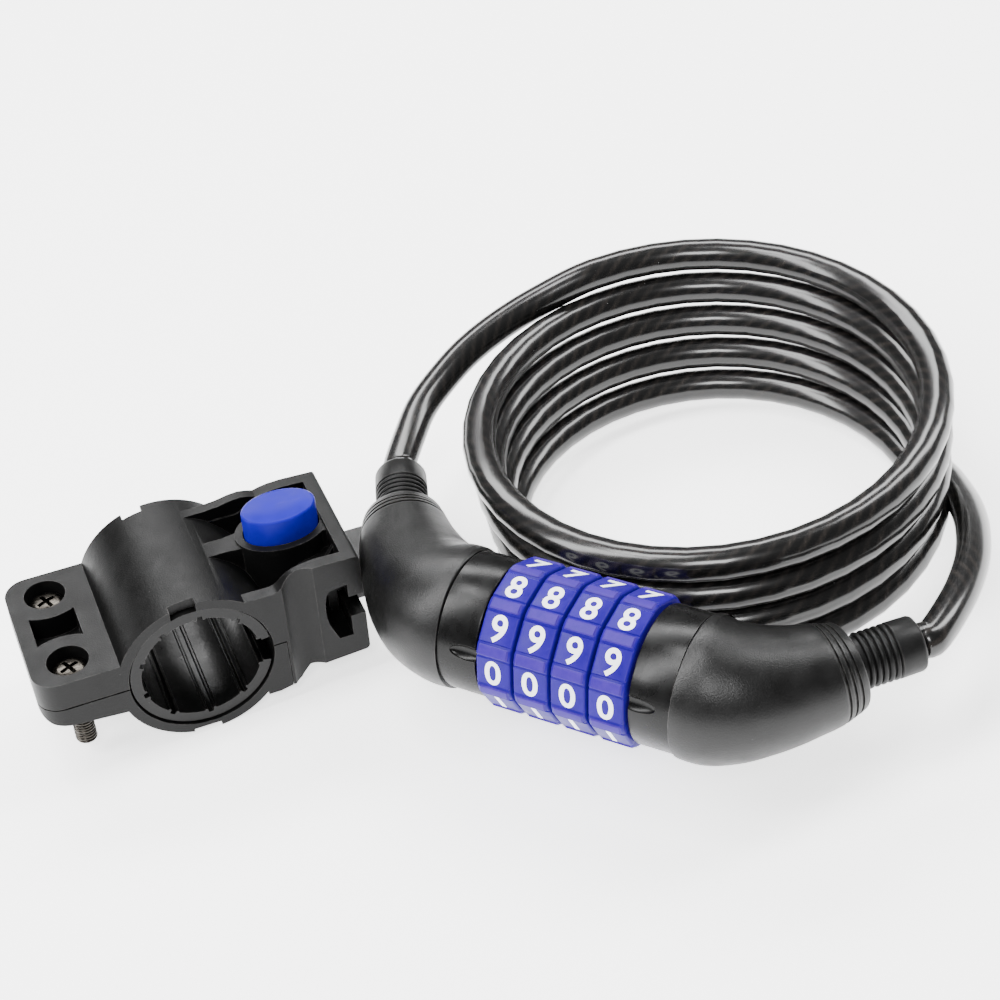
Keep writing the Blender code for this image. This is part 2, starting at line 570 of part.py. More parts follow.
def make_nut(name, y, mat, parent):
    foot, upwards = Vector((SCREW_X, y, 0)), Vector((0, 0, 1))
    nut = add_object(name, turned(((NUT_LOW, NUT_R), (NUT_TOP, NUT_R)), foot, upwards, 6), mat, parent)
    thread = turned(((NUT_LOW - 1 * MM, SCREW_HOLE_R), (NUT_TOP + 1 * MM, SCREW_HOLE_R)), foot, upwards, 24)
    return cut(nut, thread, "thread")


def make_button(mat, parent):
    rings = []
    for shrink, z in ((0.4, BUTTON_LOW), (0.0, BUTTON_LOW + 0.4 * MM), (0.0, BUTTON_TOP - 0.8 * MM),
                      (0.3, BUTTON_TOP - 0.25 * MM), (1.0, BUTTON_TOP)):
        edge = oval(BUTTON_X, BUTTON_Y, BUTTON_A - shrink * MM, BUTTON_B - shrink * MM)
        rings.append([Vector((x, y, z)) for x, y in edge])
    button = add_object("release_button", loft(rings), mat, parent)
    seat = turned(((10 * MM, 2.9 * MM), (19 * MM, 2.9 * MM)), Vector((SPRING_X, BUTTON_Y, 0)),
                  Vector((0, 0, 1)), 20)
    return cut(button, seat, "spring_seat")


def make_latch(mat, parent):
    """Hooked bar that hangs from the button beside the T-slot and bars the slot's floor."""
    outline = [(28.3 * MM, BUTTON_LOW - GAP), (28.3 * MM, -5.9 * MM), (34.6 * MM, -5.9 * MM),
               (34.6 * MM, -4.3 * MM), (29.8 * MM, -4.3 * MM), (29.8 * MM, BUTTON_LOW - GAP)]
    return add_object("release_latch", prism(outline, 14.8 * MM, 21.6 * MM), mat, parent)


def make_button_spring(mat, parent):
    turns, radius, wire, low, high = 5, 1.9 * MM, 0.3 * MM, 4.1 * MM, 18.5 * MM
    per_turn = 8
    steps = turns * per_turn
    path = []
    for i in range(steps + 1):
        angle = 2 * pi * i / per_turn
        path.append(Vector((SPRING_X + radius * cos(angle), BUTTON_Y + radius * sin(angle),
                            low + (high - low) * i / steps)))
    rings = []
    for i, point in enumerate(path):
        along = (path[min(i + 1, steps)] - path[max(i - 1, 0)]).normalized()
        out = Vector((point.x - SPRING_X, point.y - BUTTON_Y, 0)).normalized()
        up = along.cross(out)
        turned_by = [2 * pi * k / 5 for k in range(5)]
        rings.append([point + (out * cos(t) + up * sin(t)) * wire for t in turned_by])
    return add_object("button_spring", loft(rings), mat, parent)


def make_lug(mat, parent, lock_frame):
    """T-shaped lug on the left elbow: plate in the slot, neck, and a pad fitted to the elbow."""
    side = GAP + 0.1 * MM
    head, pad, pad_far = SLOT_RIGHT - side, BLOCK_RIGHT + GAP, BLOCK_RIGHT + 8 * MM
    outline = [(SLOT_LEFT + 2.9 * MM, SLOT_LOW + side), (head, SLOT_LOW + side), (head, NECK_LOW + side),
               (pad, NECK_LOW + side), (pad, -2.0 * MM), (pad_far, -2.0 * MM), (pad_far, 10.0 * MM),
               (pad, 10.0 * MM), (pad, NECK_TOP - side), (head, NECK_TOP - side),
               (head, SLOT_TOP - side - 0.3 * MM), (SLOT_LEFT + 2.2 * MM, SLOT_TOP - 1.4 * MM)]
    lug = add_object("mounting_lug", prism(outline, *LUG_Y), mat, parent)
    middle, radii = elbow_path(LEFT_ELBOW)
    fat = loft(swept_rings(middle, [r + GAP for r in radii], 32))
    to_bracket = parent.matrix_world.inverted() @ lock_frame.matrix_world
    fat.transform(to_bracket)
    return cut(lug, fat, "elbow_seat")


# ------------------------------------------------------------------ the whole
def main():
    clear_scene()
    black = material("black_nylon", (0.035, 0.035, 0.037), 0.5)
    gloss_black = material("gloss_black", (0.02, 0.02, 0.021), 0.25, coat=0.4)
    blue = material("dial_blue", (0.05, 0.03, 0.6), 0.35)
    button_blue = material("button_blue", (0.02, 0.015, 0.65), 0.3)
    rubber = material("liner_rubber", (0.05, 0.05, 0.05), 0.7)
    vinyl = material("cable_vinyl", (0.04, 0.04, 0.042), 0.15, coat=0.5)
    steel = material("oxide_steel", (0.12, 0.11, 0.1), 0.35, metal=1.0)
    zinc = material("zinc", (0.55, 0.55, 0.56), 0.35, metal=1.0)

    bracket = empty("bracket_frame", RING_FRONT, (0, BRACKET_ROLL, 0))
    barrel_at = Vector((RING_FRONT.x + BARREL_FROM_RING.x, RING_FRONT.y + BARREL_FROM_RING.y, BARREL_HEIGHT))
    lock = empty("lock_frame", barrel_at, (0, 0, BARREL_YAW))
    bpy.context.view_layer.update()

    make_core(zinc, lock)
    for k in range(DIAL_COUNT):
        x = (k - (DIAL_COUNT - 1) / 2) * DIAL_PITCH
        make_dial(f"dial_{k + 1}", x, blue, lock)
        make_code_wheel(f"code_wheel_{k + 1}", x, zinc, lock)
    make_bolt(zinc, lock)
    add_object("bolt_pin", turned(((-6.5 * MM, 1.0 * MM), (6.5 * MM, 1.0 * MM)), Vector((34 * MM, 0, 0)),
                                  Vector((0, 0, 1)), 12), steel, lock)
    make_collar("collar_left", -1, gloss_black, lock)
    make_collar("collar_right", 1, gloss_black, lock)
    make_elbow("elbow_left", LEFT_ELBOW, black, lock)
    make_elbow("elbow_right", RIGHT_ELBOW, black, lock)
    make_boot("boot_left", LEFT_ELBOW, LEFT_BOOT_HEADING, black, lock)
    make_boot("boot_right", RIGHT_ELBOW, RIGHT_BOOT_HEADING, black, lock)
    make_ferrule("ferrule_left", LEFT_ELBOW, LEFT_BOOT_HEADING, zinc, lock)
    make_ferrule("ferrule_right", RIGHT_ELBOW, RIGHT_BOOT_HEADING, zinc, lock)
    make_reset_spring(steel, lock)
    make_core_nut(zinc, lock)

    left, right = lead_routes()
    make_coil(vinyl, lock, left, right)
    cable_tube("cable_lead_left", left, CABLE_R, vinyl, lock)
    cable_tube("cable_lead_right", right, CABLE_R, vinyl, lock)

    make_clamp_upper(black, bracket)
    make_clamp_lower(black, bracket)
    make_liner(rubber, bracket)
    for y, place in zip(SCREW_YS, ("front", "rear")):
        make_screw(f"clamp_screw_{place}", y, steel, bracket)
        make_nut(f"clamp_nut_{place}", y, steel, bracket)
    make_button(button_blue, bracket)
    make_latch(zinc, bracket)
    make_button_spring(steel, bracket)
    make_lug(black, bracket, lock)
    bpy.context.view_layer.update()


main()
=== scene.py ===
# %% [markdown]
# # A coil-cable bicycle lock and its frame bracket
#
# This notebook dresses a packed CAD model for a studio picture. The CAD frame gives every place
# and every moving body. Here each visible piece gets its fine shape, its edges and its finish.
# The order is: frame, camera, floor and light, materials, helpers, cable, barrel, elbows and
# boots, bracket, springs.

from math import acos, cos, degrees, pi, radians, sin, sqrt

import bmesh
import bpy
from mathutils import Matrix, Vector


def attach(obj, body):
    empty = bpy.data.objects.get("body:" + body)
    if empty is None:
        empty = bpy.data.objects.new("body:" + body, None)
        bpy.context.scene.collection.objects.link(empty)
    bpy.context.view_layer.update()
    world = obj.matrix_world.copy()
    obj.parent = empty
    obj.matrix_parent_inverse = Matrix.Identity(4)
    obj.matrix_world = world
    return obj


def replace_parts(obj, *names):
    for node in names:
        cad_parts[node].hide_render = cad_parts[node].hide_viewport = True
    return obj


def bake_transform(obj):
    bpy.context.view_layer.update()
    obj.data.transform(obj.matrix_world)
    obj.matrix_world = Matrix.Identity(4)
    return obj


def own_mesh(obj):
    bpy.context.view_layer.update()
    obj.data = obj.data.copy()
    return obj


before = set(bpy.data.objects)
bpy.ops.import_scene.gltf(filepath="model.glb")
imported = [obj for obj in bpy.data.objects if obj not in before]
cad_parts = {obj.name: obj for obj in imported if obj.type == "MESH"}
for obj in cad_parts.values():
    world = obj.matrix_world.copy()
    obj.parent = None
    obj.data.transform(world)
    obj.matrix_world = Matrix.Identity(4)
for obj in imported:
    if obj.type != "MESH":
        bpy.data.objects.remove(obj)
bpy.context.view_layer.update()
MM = 0.001
Z_AXIS = Vector((0, 0, 1))


def mm(*points):
    """Points given in millimetres, as points in metres."""
    return [tuple(value * MM for value in point) for point in points]


# %% [markdown]
# ## Places
# The lock's barrel and the bracket each have a frame of their own, turned against the world.
# The lengths of the pieces below are millimetres in one of those two frames.

# %% Places
RING_FRONT = Vector((-52.04, 23.6, 19.5)) * MM
BARREL = Vector((24.66, -19.5, 26.4)) * MM
BARREL_YAW = radians(-49.7)
LOCK = Matrix.Translation(BARREL) @ Matrix.Rotation(BARREL_YAW, 4, "Z")
BRACKET_ROLL = radians(3.9)
BRACKET = Matrix.Translation(RING_FRONT) @ Matrix.Rotation(BRACKET_ROLL, 4, "Y")
PLAIN = Matrix.Identity(4)
print("barrel turned", round(degrees(BARREL_YAW), 1), "and bracket rolled", round(degrees(BRACKET_ROLL), 1))

# %% [markdown]
# ## Camera
# A long lens looks down on the lock from its front left. A short lens close by would make the
# near elbow look too big. The camera is rolled a little, which tips the whole picture.

# %% Camera
CAM_AZIMUTH, CAM_ELEVATION, CAM_ROLL = radians(34.23), radians(41.22), radians(-9.28)
CAM_DISTANCE, CAM_RIGHT, CAM_UP = 478.9 * MM, -12.57 * MM, 35.42 * MM
LENS, FILM_WIDTH = 79.06, 36.0


def place_camera():
    level = cos(CAM_ELEVATION)
    back = Vector((sin(CAM_AZIMUTH) * level, -cos(CAM_AZIMUTH) * level, sin(CAM_ELEVATION)))
    right = Vector((cos(CAM_AZIMUTH), sin(CAM_AZIMUTH), 0))
    up = back.cross(right)
    across = right * cos(CAM_ROLL) + up * sin(CAM_ROLL)
    above = up * cos(CAM_ROLL) - right * sin(CAM_ROLL)
    basis = Matrix((across, above, back)).transposed().to_4x4()
    basis.translation = back * CAM_DISTANCE + right * CAM_RIGHT + up * CAM_UP
    data = bpy.data.cameras.new("camera")
    data.lens = LENS
    data.sensor_width = FILM_WIDTH
    data.clip_start = 0.01
    camera = bpy.data.objects.new("camera", data)
    camera.matrix_world = LOCK @ basis
    bpy.context.scene.collection.objects.link(camera)
    bpy.context.scene.camera = camera
    return camera


camera = place_camera()
print("camera at", [round(v, 3) for v in camera.matrix_world.translation])

# %% [markdown]
# ## Floor and light
# Dark gloss plastic shows little but its reflections, so the lights are shaped by what they
# draw. Three long strips, on the left, behind and on the right, make the streaks along the
# cable and the barrel. A square softbox at the front left and a small one overhead fill the
# faces between them. The sky is kept dim, because a bright one would turn the blacks grey, and
# the floor glows a little so that it stays almost white.

# %% Floor and light
SKY_STRENGTH = 0.22
FLOOR_HALF, FLOOR_GLOW = 4.0, 1.9
SOFTBOXES = (  # name, place, aim, size across and along in metres, power in watts
    ("left_strip", (-0.62, 0.05, 0.72), (0.0, 0.05, 0.0), (0.26, 0.9), 15.0),
    ("rear_strip", (0.12, 0.7, 0.75), (0.0, 0.05, 0.0), (1.0, 0.24), 14.0),
    ("key_softbox", (-0.3, -0.7, 0.95), (0.0, -0.02, 0.0), (0.32, 0.32), 10.0),
    ("top_softbox", (-0.12, 0.18, 0.95), (0.0, 0.0, 0.0), (0.26, 0.26), 5.0),
    ("right_strip", (0.75, 0.1, 0.7), (0.0, 0.05, 0.0), (0.2, 0.8), 10.0),
)


def softbox(name, place, target, size, power):
    data = bpy.data.lights.new(name, "AREA")
    data.shape = "RECTANGLE"
    data.size, data.size_y = size
    data.energy = power
    light = bpy.data.objects.new(name, data)
    light.location = place
    light.rotation_euler = (Vector(target) - Vector(place)).to_track_quat("-Z", "Y").to_euler()
    bpy.context.scene.collection.objects.link(light)
    return light


def make_sky():
    world = bpy.data.worlds.new("studio")
    bpy.context.scene.world = world
    world.use_nodes = True
    sky = world.node_tree.nodes["Background"]
    sky.inputs["Color"].default_value = (1.0, 1.0, 1.0, 1.0)
    sky.inputs["Strength"].default_value = SKY_STRENGTH


def make_floor():
    bm = bmesh.new()
    bmesh.ops.create_grid(bm, x_segments=1, y_segments=1, size=FLOOR_HALF)
    mesh = bpy.data.meshes.new("floor")
    bm.to_mesh(mesh)
    bm.free()
    floor = bpy.data.objects.new("floor", mesh)
    bpy.context.scene.collection.objects.link(floor)
    pale = bpy.data.materials.new("floor_white")
    pale.use_nodes = True
    shader = pale.node_tree.nodes["Principled BSDF"]
    shader.inputs["Base Color"].default_value = (0.96, 0.96, 0.96, 1)
    shader.inputs["Roughness"].default_value = 0.9
    shader.inputs["Emission Color"].default_value = (1, 1, 1, 1)
    shader.inputs["Emission Strength"].default_value = FLOOR_GLOW
    mesh.materials.append(pale)


make_sky()
for settings in SOFTBOXES:
    softbox(*settings)
make_floor()
print("studio: floor and", len(bpy.data.lights), "lights")

# %% [markdown]
# ## Node calls for a finish
# Every finish is procedural and lies in object space, so that it stays on its piece when the
# piece moves. `Finish` wraps the few node moves that they share: noise, ramps, mixes, bumps,
# worn edges and dust. Writing each node out in full would hide what a finish is made of.

# %% Node calls for a finish
class Finish:
    """A Principled material with short calls for the nodes that feed it."""

    def __init__(self, name, rough=0.5, metal=0.0, coat=0.0):
        self.material = bpy.data.materials.new(name)
        self.material.use_nodes = True
        self.tree = self.material.node_tree
        self.shader = self.tree.nodes["Principled BSDF"]
        self.set("Roughness", rough)
        self.set("Metallic", metal)
        self.set("Coat Weight", coat)
        self.bumps = None

    def set(self, socket, value):
        if hasattr(value, "is_output"):
            self.tree.links.new(value, self.shader.inputs[socket])
        else:
            self.shader.inputs[socket].default_value = value

    def node(self, kind, **values):
        made = self.tree.nodes.new(kind)
        for key, value in values.items():
            setattr(made, key, value)
        return made

    def feed(self, node, socket, value):
        if hasattr(value, "is_output"):
            self.tree.links.new(value, node.inputs[socket])
        else:
            node.inputs[socket].default_value = value

    def place(self):
        return self.node("ShaderNodeTexCoord").outputs["Object"]

    def stretched(self, scale):
        mapping = self.node("ShaderNodeMapping")
        self.feed(mapping, "Vector", self.place())
        mapping.inputs["Scale"].default_value = scale
        return mapping.outputs["Vector"]

    def noise(self, scale, detail=3.0, where=None, rough=0.5):
        made = self.node("ShaderNodeTexNoise")
        self.feed(made, "Vector", where or self.place())
        self.feed(made, "Scale", scale)
        self.feed(made, "Detail", detail)
        self.feed(made, "Roughness", rough)
        return made.outputs["Fac"]

    def ramp(self, value, low, high, to_low=0.0, to_high=1.0):
        made = self.node("ShaderNodeMapRange")
        self.feed(made, "Value", value)
        self.feed(made, "From Min", low)
        self.feed(made, "From Max", high)
        self.feed(made, "To Min", to_low)
        self.feed(made, "To Max", to_high)
        return made.outputs["Result"]

    def math(self, operation, a, b=0.0):
        made = self.node("ShaderNodeMath", operation=operation)
        self.feed(made, 0, a)
        self.feed(made, 1, b)
        return made.outputs["Value"]

    def mix(self, amount, a, b):
        made = self.node("ShaderNodeMix", data_type="RGBA")
        self.feed(made, "Factor", amount)
        # sockets 6 and 7 are the two colours of a Mix node that is set to colour
        for index, colour in ((6, a), (7, b)):
            if hasattr(colour, "is_output"):
                self.tree.links.new(colour, made.inputs[index])
            else:
                made.inputs[index].default_value = (*colour, 1.0)
        return made.outputs[2]

    def bump(self, height, distance, strength=1.0):
        made = self.node("ShaderNodeBump")
        self.feed(made, "Height", height)
        self.feed(made, "Distance", distance)
        self.feed(made, "Strength", strength)
        if self.bumps:
            self.tree.links.new(self.bumps, made.inputs["Normal"])
        self.bumps = made.outputs["Normal"]
        self.set("Normal", self.bumps)

    def edges(self, radius):
        """1 on sharp edges and 0 elsewhere: a mask for paler edges that are part wear and part painted
        highlight.
        """
        rounded = self.node("ShaderNodeBevel", samples=4)
        rounded.inputs["Radius"].default_value = radius
        facing = self.node("ShaderNodeVectorMath", operation="DOT_PRODUCT")
        self.tree.links.new(rounded.outputs["Normal"], facing.inputs[0])
        self.tree.links.new(self.node("ShaderNodeNewGeometry").outputs["Normal"], facing.inputs[1])
        return self.ramp(facing.outputs["Value"], 0.985, 0.90)

    def dust(self, colour, speck, share=0.045, scale=420.0):
        """A few pale specks of dust over a colour."""
        cells = self.node("ShaderNodeTexVoronoi")
        self.feed(cells, "Vector", self.place())
        self.feed(cells, "Scale", scale)
        near = self.ramp(cells.outputs["Distance"], share, share * 0.6)
        pick = self.ramp(self.noise(90.0, 1.0), 0.6, 0.66)
        return self.mix(self.math("MULTIPLY", near, pick), colour, speck)


print("node calls:", len([key for key in vars(Finish) if not key.startswith("_")]))

# %% [markdown]
# ## Black plastics
# The shells are moulded plastic. The mould's fine grain leaves them satin, and the collars, from
# a polished mould, come out glossy. The sharp edges are painted a little paler. This is partly the
# wear of handling and partly a painted highlight where a rounded edge would catch the light. A Bevel
# node finds those edges at render time, which pointiness can't do on meshes with so few points.

# %% Black plastics
# pale edge colour: partly wear from handling, partly a painted highlight on the edges
EDGE_WEAR_AND_HIGHLIGHT = (0.045, 0.043, 0.041)
EDGE_REACH = 0.00035
DUST_GREY = (0.12, 0.12, 0.12)
SOFT_WAVES = 0.00004


def moulded_black(name, colour, rough, grain, depth, shine=0.2):
    """Moulded plastic: grain at a scale and depth, cloudy gloss, paler edges that are part wear and part
    painted highlight, and a little dust.
    """
    made = Finish(name, rough)
    made.set("Specular IOR Level", shine)
    cloud = made.noise(55.0, 4.0)
    dark = tuple(c * 0.75 for c in colour)
    light = tuple(min(1.0, c * 1.3) for c in colour)
    plain = made.mix(made.ramp(cloud, 0.3, 0.7), dark, light)
    patchy = made.ramp(made.noise(330.0, 4.0, rough=0.7), 0.40, 0.62)
    # the edge mask paints sharp edges paler, partly as wear and partly as a painted highlight
    worn = made.math("MULTIPLY", made.edges(EDGE_REACH), patchy)
    made.set("Base Color", made.dust(made.mix(worn, plain, EDGE_WEAR_AND_HIGHLIGHT), DUST_GREY))
    made.set("Roughness", made.ramp(made.noise(220.0, 5.0), 0.25, 0.75, rough - 0.06, rough + 0.08))
    made.bump(made.noise(grain, 2.0), depth)
    made.bump(made.noise(120.0, 2.0), SOFT_WAVES, 0.5)
    return made.material


SATIN = moulded_black("satin_black", (0.002, 0.002, 0.002), 0.36, 3200.0, 0.00006, shine=0.32)
BOOT = moulded_black("boot_black", (0.003, 0.003, 0.003), 0.42, 3200.0, 0.00003)
GLOSS = moulded_black("gloss_black", (0.002, 0.002, 0.002), 0.27, 1800.0, 0.00001)
BRACKET_BLACK = moulded_black("bracket_black", (0.003, 0.003, 0.003), 0.38, 3000.0, 0.00004, shine=0.15)
LINER = moulded_black("liner_black", (0.002, 0.002, 0.002), 0.32, 900.0, 0.00005)
LATCH_GREY = moulded_black("latch_grey", (0.05, 0.05, 0.05), 0.45, 2000.0, 0.00002)
BLACKS = (SATIN, BOOT, GLOSS, BRACKET_BLACK, LINER, LATCH_GREY)
print("black plastics:", [mat.name for mat in BLACKS])

# %% [markdown]
# ## Blue plastics and white print
# The dials and the button are dyed through, so their colour is deep and only clouds a little.
# Faint paler streaks cross it one way, like flow marks from the mould. The digits are a raised
# white print that glows slightly, because a thin print in shade would turn grey.

# %% Blue plastics and white print
def blue_plastic(name, deep, bright, rough):
    made = Finish(name, rough)
    made.set("Specular IOR Level", 0.12)
    worn = made.noise(240.0, 6.0, rough=0.65)
    streak = made.noise(1.0, 5.0, made.stretched((150, 900, 900)))
    colour = made.mix(made.ramp(worn, 0.35, 0.75), deep, bright)
    made.set("Base Color", made.mix(made.ramp(streak, 0.62, 0.8, 0.0, 0.2), colour, (0.05, 0.04, 0.32)))
    made.set("Roughness", made.ramp(worn, 0.3, 0.7, rough - 0.08, rough + 0.12))
    made.bump(made.noise(600.0, 3.0), 0.00002)
    return made.material


def white_print(name):
    made = Finish(name, 0.4)
    made.set("Emission Color", (1, 1, 1, 1))
    made.set("Emission Strength", 0.35)
    wear = made.ramp(made.noise(900.0, 4.0), 0.35, 0.7)
    made.set("Base Color", made.mix(wear, (0.86, 0.88, 0.95), (0.97, 0.98, 1.0)))
    made.bump(made.noise(1500.0, 2.0), 0.00001)
    return made.material


DIAL_BLUE = blue_plastic("dial_blue", (0.012, 0.0, 0.17), (0.018, 0.0, 0.22), 0.34)
RIDGE_BLUE = blue_plastic("ridge_blue", (0.030, 0.009, 0.21), (0.052, 0.020, 0.25), 0.42)
BUTTON_BLUE = blue_plastic("button_blue", (0.004, 0.0, 0.24), (0.006, 0.0, 0.29), 0.38)
WHITE = white_print("white_digits")
print("blue plastics and print:", [mat.name for mat in (DIAL_BLUE, RIDGE_BLUE, BUTTON_BLUE, WHITE)])

# %% [markdown]
# ## Steel
# The clamp's screws are oxidised almost black. The springs and the parts inside are bright
# zinc. Both are brushed metal with tarnish in blotches, so one function makes the two.

# %% Steel
def steel(name, colour, rough, tarnish):
    made = Finish(name, rough, 1.0)
    brushed = made.noise(1.0, 4.0, made.stretched((300, 2600, 2600)))
    blotch = made.noise(500.0, 5.0, rough=0.7)
    made.set("Base Color", made.mix(made.ramp(blotch, 0.42, 0.68), colour, tarnish))
    made.set("Roughness", made.ramp(brushed, 0.3, 0.7, rough - 0.08, rough + 0.12))
    made.bump(brushed, 0.00001)
    return made.material


OXIDE = steel("oxide_steel", (0.055, 0.05, 0.043), 0.26, (0.02, 0.018, 0.016))
ZINC = steel("zinc", (0.62, 0.62, 0.63), 0.3, (0.4, 0.4, 0.41))
print("steels:", [mat.name for mat in (OXIDE, ZINC)])

# %% [markdown]
# ## Smoked vinyl
# The cable is a twisted steel rope in a jacket of smoke-black vinyl, and its strands show
# faintly through the gloss. Real strands under a see-through jacket would need many more rays,
# so the pattern is drawn on the jacket. It reads two attributes that the jacket's tree stores:
# the place along the cable and the place around its section.

# %% Smoked vinyl
STRANDS, STRAND_LAY, WIRE_STEP = 7.0, 0.030, 0.0016


def smoked_vinyl(name):
    made = Finish(name, 0.3, 0.0, 0.45)
    made.set("Coat Roughness", 0.14)
    made.set("Specular IOR Level", 0.3)
    around = made.node("ShaderNodeAttribute", attribute_name="around")
    along = made.node("ShaderNodeAttribute", attribute_name="along").outputs["Fac"]
    parts = made.node("ShaderNodeSeparateXYZ")
    made.feed(parts, "Vector", around.outputs["Vector"])
    angle = made.math("ARCTAN2", parts.outputs["Y"], parts.outputs["X"])
    turn = made.math("ADD", angle, made.math("MULTIPLY", along, 2 * pi / STRAND_LAY))
    bundle = made.math("MULTIPLY", turn, STRANDS)
    strand = made.math("SINE", bundle)
    wire = made.math("SINE", made.math("ADD", bundle, made.math("MULTIPLY", along, 2 * pi / WIRE_STEP)))
    haze = made.noise(170.0, 4.0)
    shown = made.math("MULTIPLY", made.ramp(strand, -0.2, 1.0), made.ramp(wire, -1.0, 1.0, 0.5, 1.0))
    shown = made.math("MULTIPLY", shown, made.ramp(haze, 0.35, 0.7, 0.25, 1.0))
    colour = made.mix(shown, (0.003, 0.003, 0.003), (0.020, 0.017, 0.015))
    scuff = made.ramp(made.noise(1.0, 6.0, made.stretched((500, 500, 900)), 0.7), 0.69, 0.76)
    scuffed = made.mix(scuff, colour, (0.05, 0.05, 0.05))
    made.set("Base Color", made.dust(scuffed, (0.2, 0.2, 0.2), 0.05, 500.0))
    made.set("Roughness", made.ramp(scuff, 0.0, 1.0, 0.26, 0.5))
    made.bump(made.noise(60.0, 2.0), 0.0002, 0.35)
    return made.material


VINYL = smoked_vinyl("smoked_vinyl")
print("materials in all:", len(bpy.data.materials))

# %% [markdown]
# ## Shape helpers
# Most solids are lofts: rings of points, joined by quads and closed at both ends. A prism, a
# box and a turned piece are only kinds of loft. They are joined or cut by Booleans that are
# applied at once, and then get real rounded edges, because a sharp edge catches no light.

# %% Shape helpers
def add(name, bm, mat, place=PLAIN, sharp=35.0):
    bm.transform(place)
    bmesh.ops.recalc_face_normals(bm, faces=bm.faces)
    mesh = bpy.data.meshes.new(name)
    bm.to_mesh(mesh)
    bm.free()
    obj = bpy.data.objects.new(name, mesh)
    bpy.context.scene.collection.objects.link(obj)
    if mat:
        mesh.materials.append(mat)
    smooth(obj, sharp)
    return obj


def smooth(obj, sharp=35.0):
    obj.data.shade_smooth()
    obj.data.set_sharp_from_angle(angle=radians(sharp))


def apply_modifiers(obj):
    """Bakes an object's modifiers into its mesh."""
    graph = bpy.context.evaluated_depsgraph_get()
    baked = bpy.data.meshes.new_from_object(obj.evaluated_get(graph), depsgraph=graph)
    obj.modifiers.clear()
    obj.data = baked
    baked.name = obj.name
    return obj


def cut(obj, bm, place=PLAIN, operation="DIFFERENCE"):
    helper = add("helper", bm, None, place)
    modifier = obj.modifiers.new("cut", "BOOLEAN")
    modifier.operation, modifier.object, modifier.solver = operation, helper, "EXACT"
    apply_modifiers(obj)
    bpy.data.objects.remove(helper, do_unlink=True)
    return obj


def round_edges(obj, width, segments=2, angle=32.0, sharp=35.0):
    """Real rounded edges on every crease."""
    bm = bmesh.new()
    bm.from_mesh(obj.data)
    bmesh.ops.remove_doubles(bm, verts=bm.verts, dist=0.00002)
    bmesh.ops.dissolve_limit(bm, angle_limit=radians(1.0), verts=bm.verts, edges=bm.edges)
    bm.to_mesh(obj.data)
    bm.free()
    modifier = obj.modifiers.new("round", "BEVEL")
    modifier.width, modifier.segments = width, segments
    modifier.limit_method, modifier.angle_limit = "ANGLE", radians(angle)
    modifier.harden_normals = False
    modifier.use_clamp_overlap = True
    apply_modifiers(obj)
    smooth(obj, sharp)
    obj.modifiers.new("normals", "WEIGHTED_NORMAL").keep_sharp = True
    return apply_modifiers(obj)


def loft(rings, closed=False):
    bm = bmesh.new()
    made = [[bm.verts.new(point) for point in ring] for ring in rings]
    pairs = list(zip(made, made[1:])) + ([(made[-1], made[0])] if closed else [])
    for low, high in pairs:
        count = len(low)
        for i in range(count):
            j = (i + 1) % count
            bm.faces.new((low[i], low[j], high[j], high[i]))
    if not closed:
        bm.faces.new(made[0][::-1])
        bm.faces.new(made[-1])
    return bm


def turned(profile, start=Vector((0, 0, 0)), along=Vector((1, 0, 0)), sides=96, tube=False):
    """A profile of distances and radii, turned round an axis."""
    along = along.normalized()
    side = along.orthogonal().normalized() if abs(along.x) < 0.999 else Vector((0, 0, 1))
    other = along.cross(side)
    rings = []
    for distance, radius in profile:
        middle = start + along * distance
        rings.append([middle + (side * cos(2 * pi * i / sides) + other * sin(2 * pi * i / sides)) * radius
                      for i in range(sides)])
    return loft(rings, closed=tube)


def prism(outline, low, high, axis="Y"):
    """An outline drawn out along Y or Z, between two heights."""
    if axis == "Z":
        return loft([[Vector((a, b, h)) for a, b in outline] for h in (low, high)])
    return loft([[Vector((a, h, b)) for a, b in outline] for h in (low, high)])


def box(low, high):
    (x0, y0, z0), (x1, y1, z1) = low, high
    return prism(((x0, y0), (x1, y0), (x1, y1), (x0, y1)), z0, z1, "Z")


def arc(x, y, radius, first, last, count):
    return [(x + radius * cos(radians(first + (last - first) * i / count)),
             y + radius * sin(radians(first + (last - first) * i / count))) for i in range(count + 1)]


def oval(x, y, a, b, sides=72):
    return [(x + a * cos(2 * pi * i / sides), y + b * sin(2 * pi * i / sides)) for i in range(sides)]


def smooth_path(points, per_span):
    """A Catmull-Rom curve through the points."""
    ends = [points[0] * 2 - points[1]] + list(points) + [points[-1] * 2 - points[-2]]
    made = []
    for a, b, c, d in zip(ends, ends[1:], ends[2:], ends[3:]):
        for i in range(per_span):
            t = i / per_span
            made.append(((b * 2) + (c - a) * t + (a * 2 - b * 5 + c * 4 - d) * t * t
                         + (b * 3 - a - c * 3 + d) * t ** 3) / 2)
    return made + [points[-1].copy()]


def path_length(path):
    return sum((b - a).length for a, b in zip(path, path[1:]))


print("shape helpers: solids, Booleans, rounded edges, outlines and paths")

# %% [markdown]
# ## Geometry Nodes
# Four small trees make what repeats or follows a path: the cable's jacket, wound wire, the
# stack of rings on a boot, and the grip bars round a dial. `Tree` builds each from a script,
# with named inputs for its sizes, and turns the result into a plain mesh.

# %% Geometry Nodes
FLOAT, WHOLE, MATERIAL = "NodeSocketFloat", "NodeSocketInt", "NodeSocketMaterial"


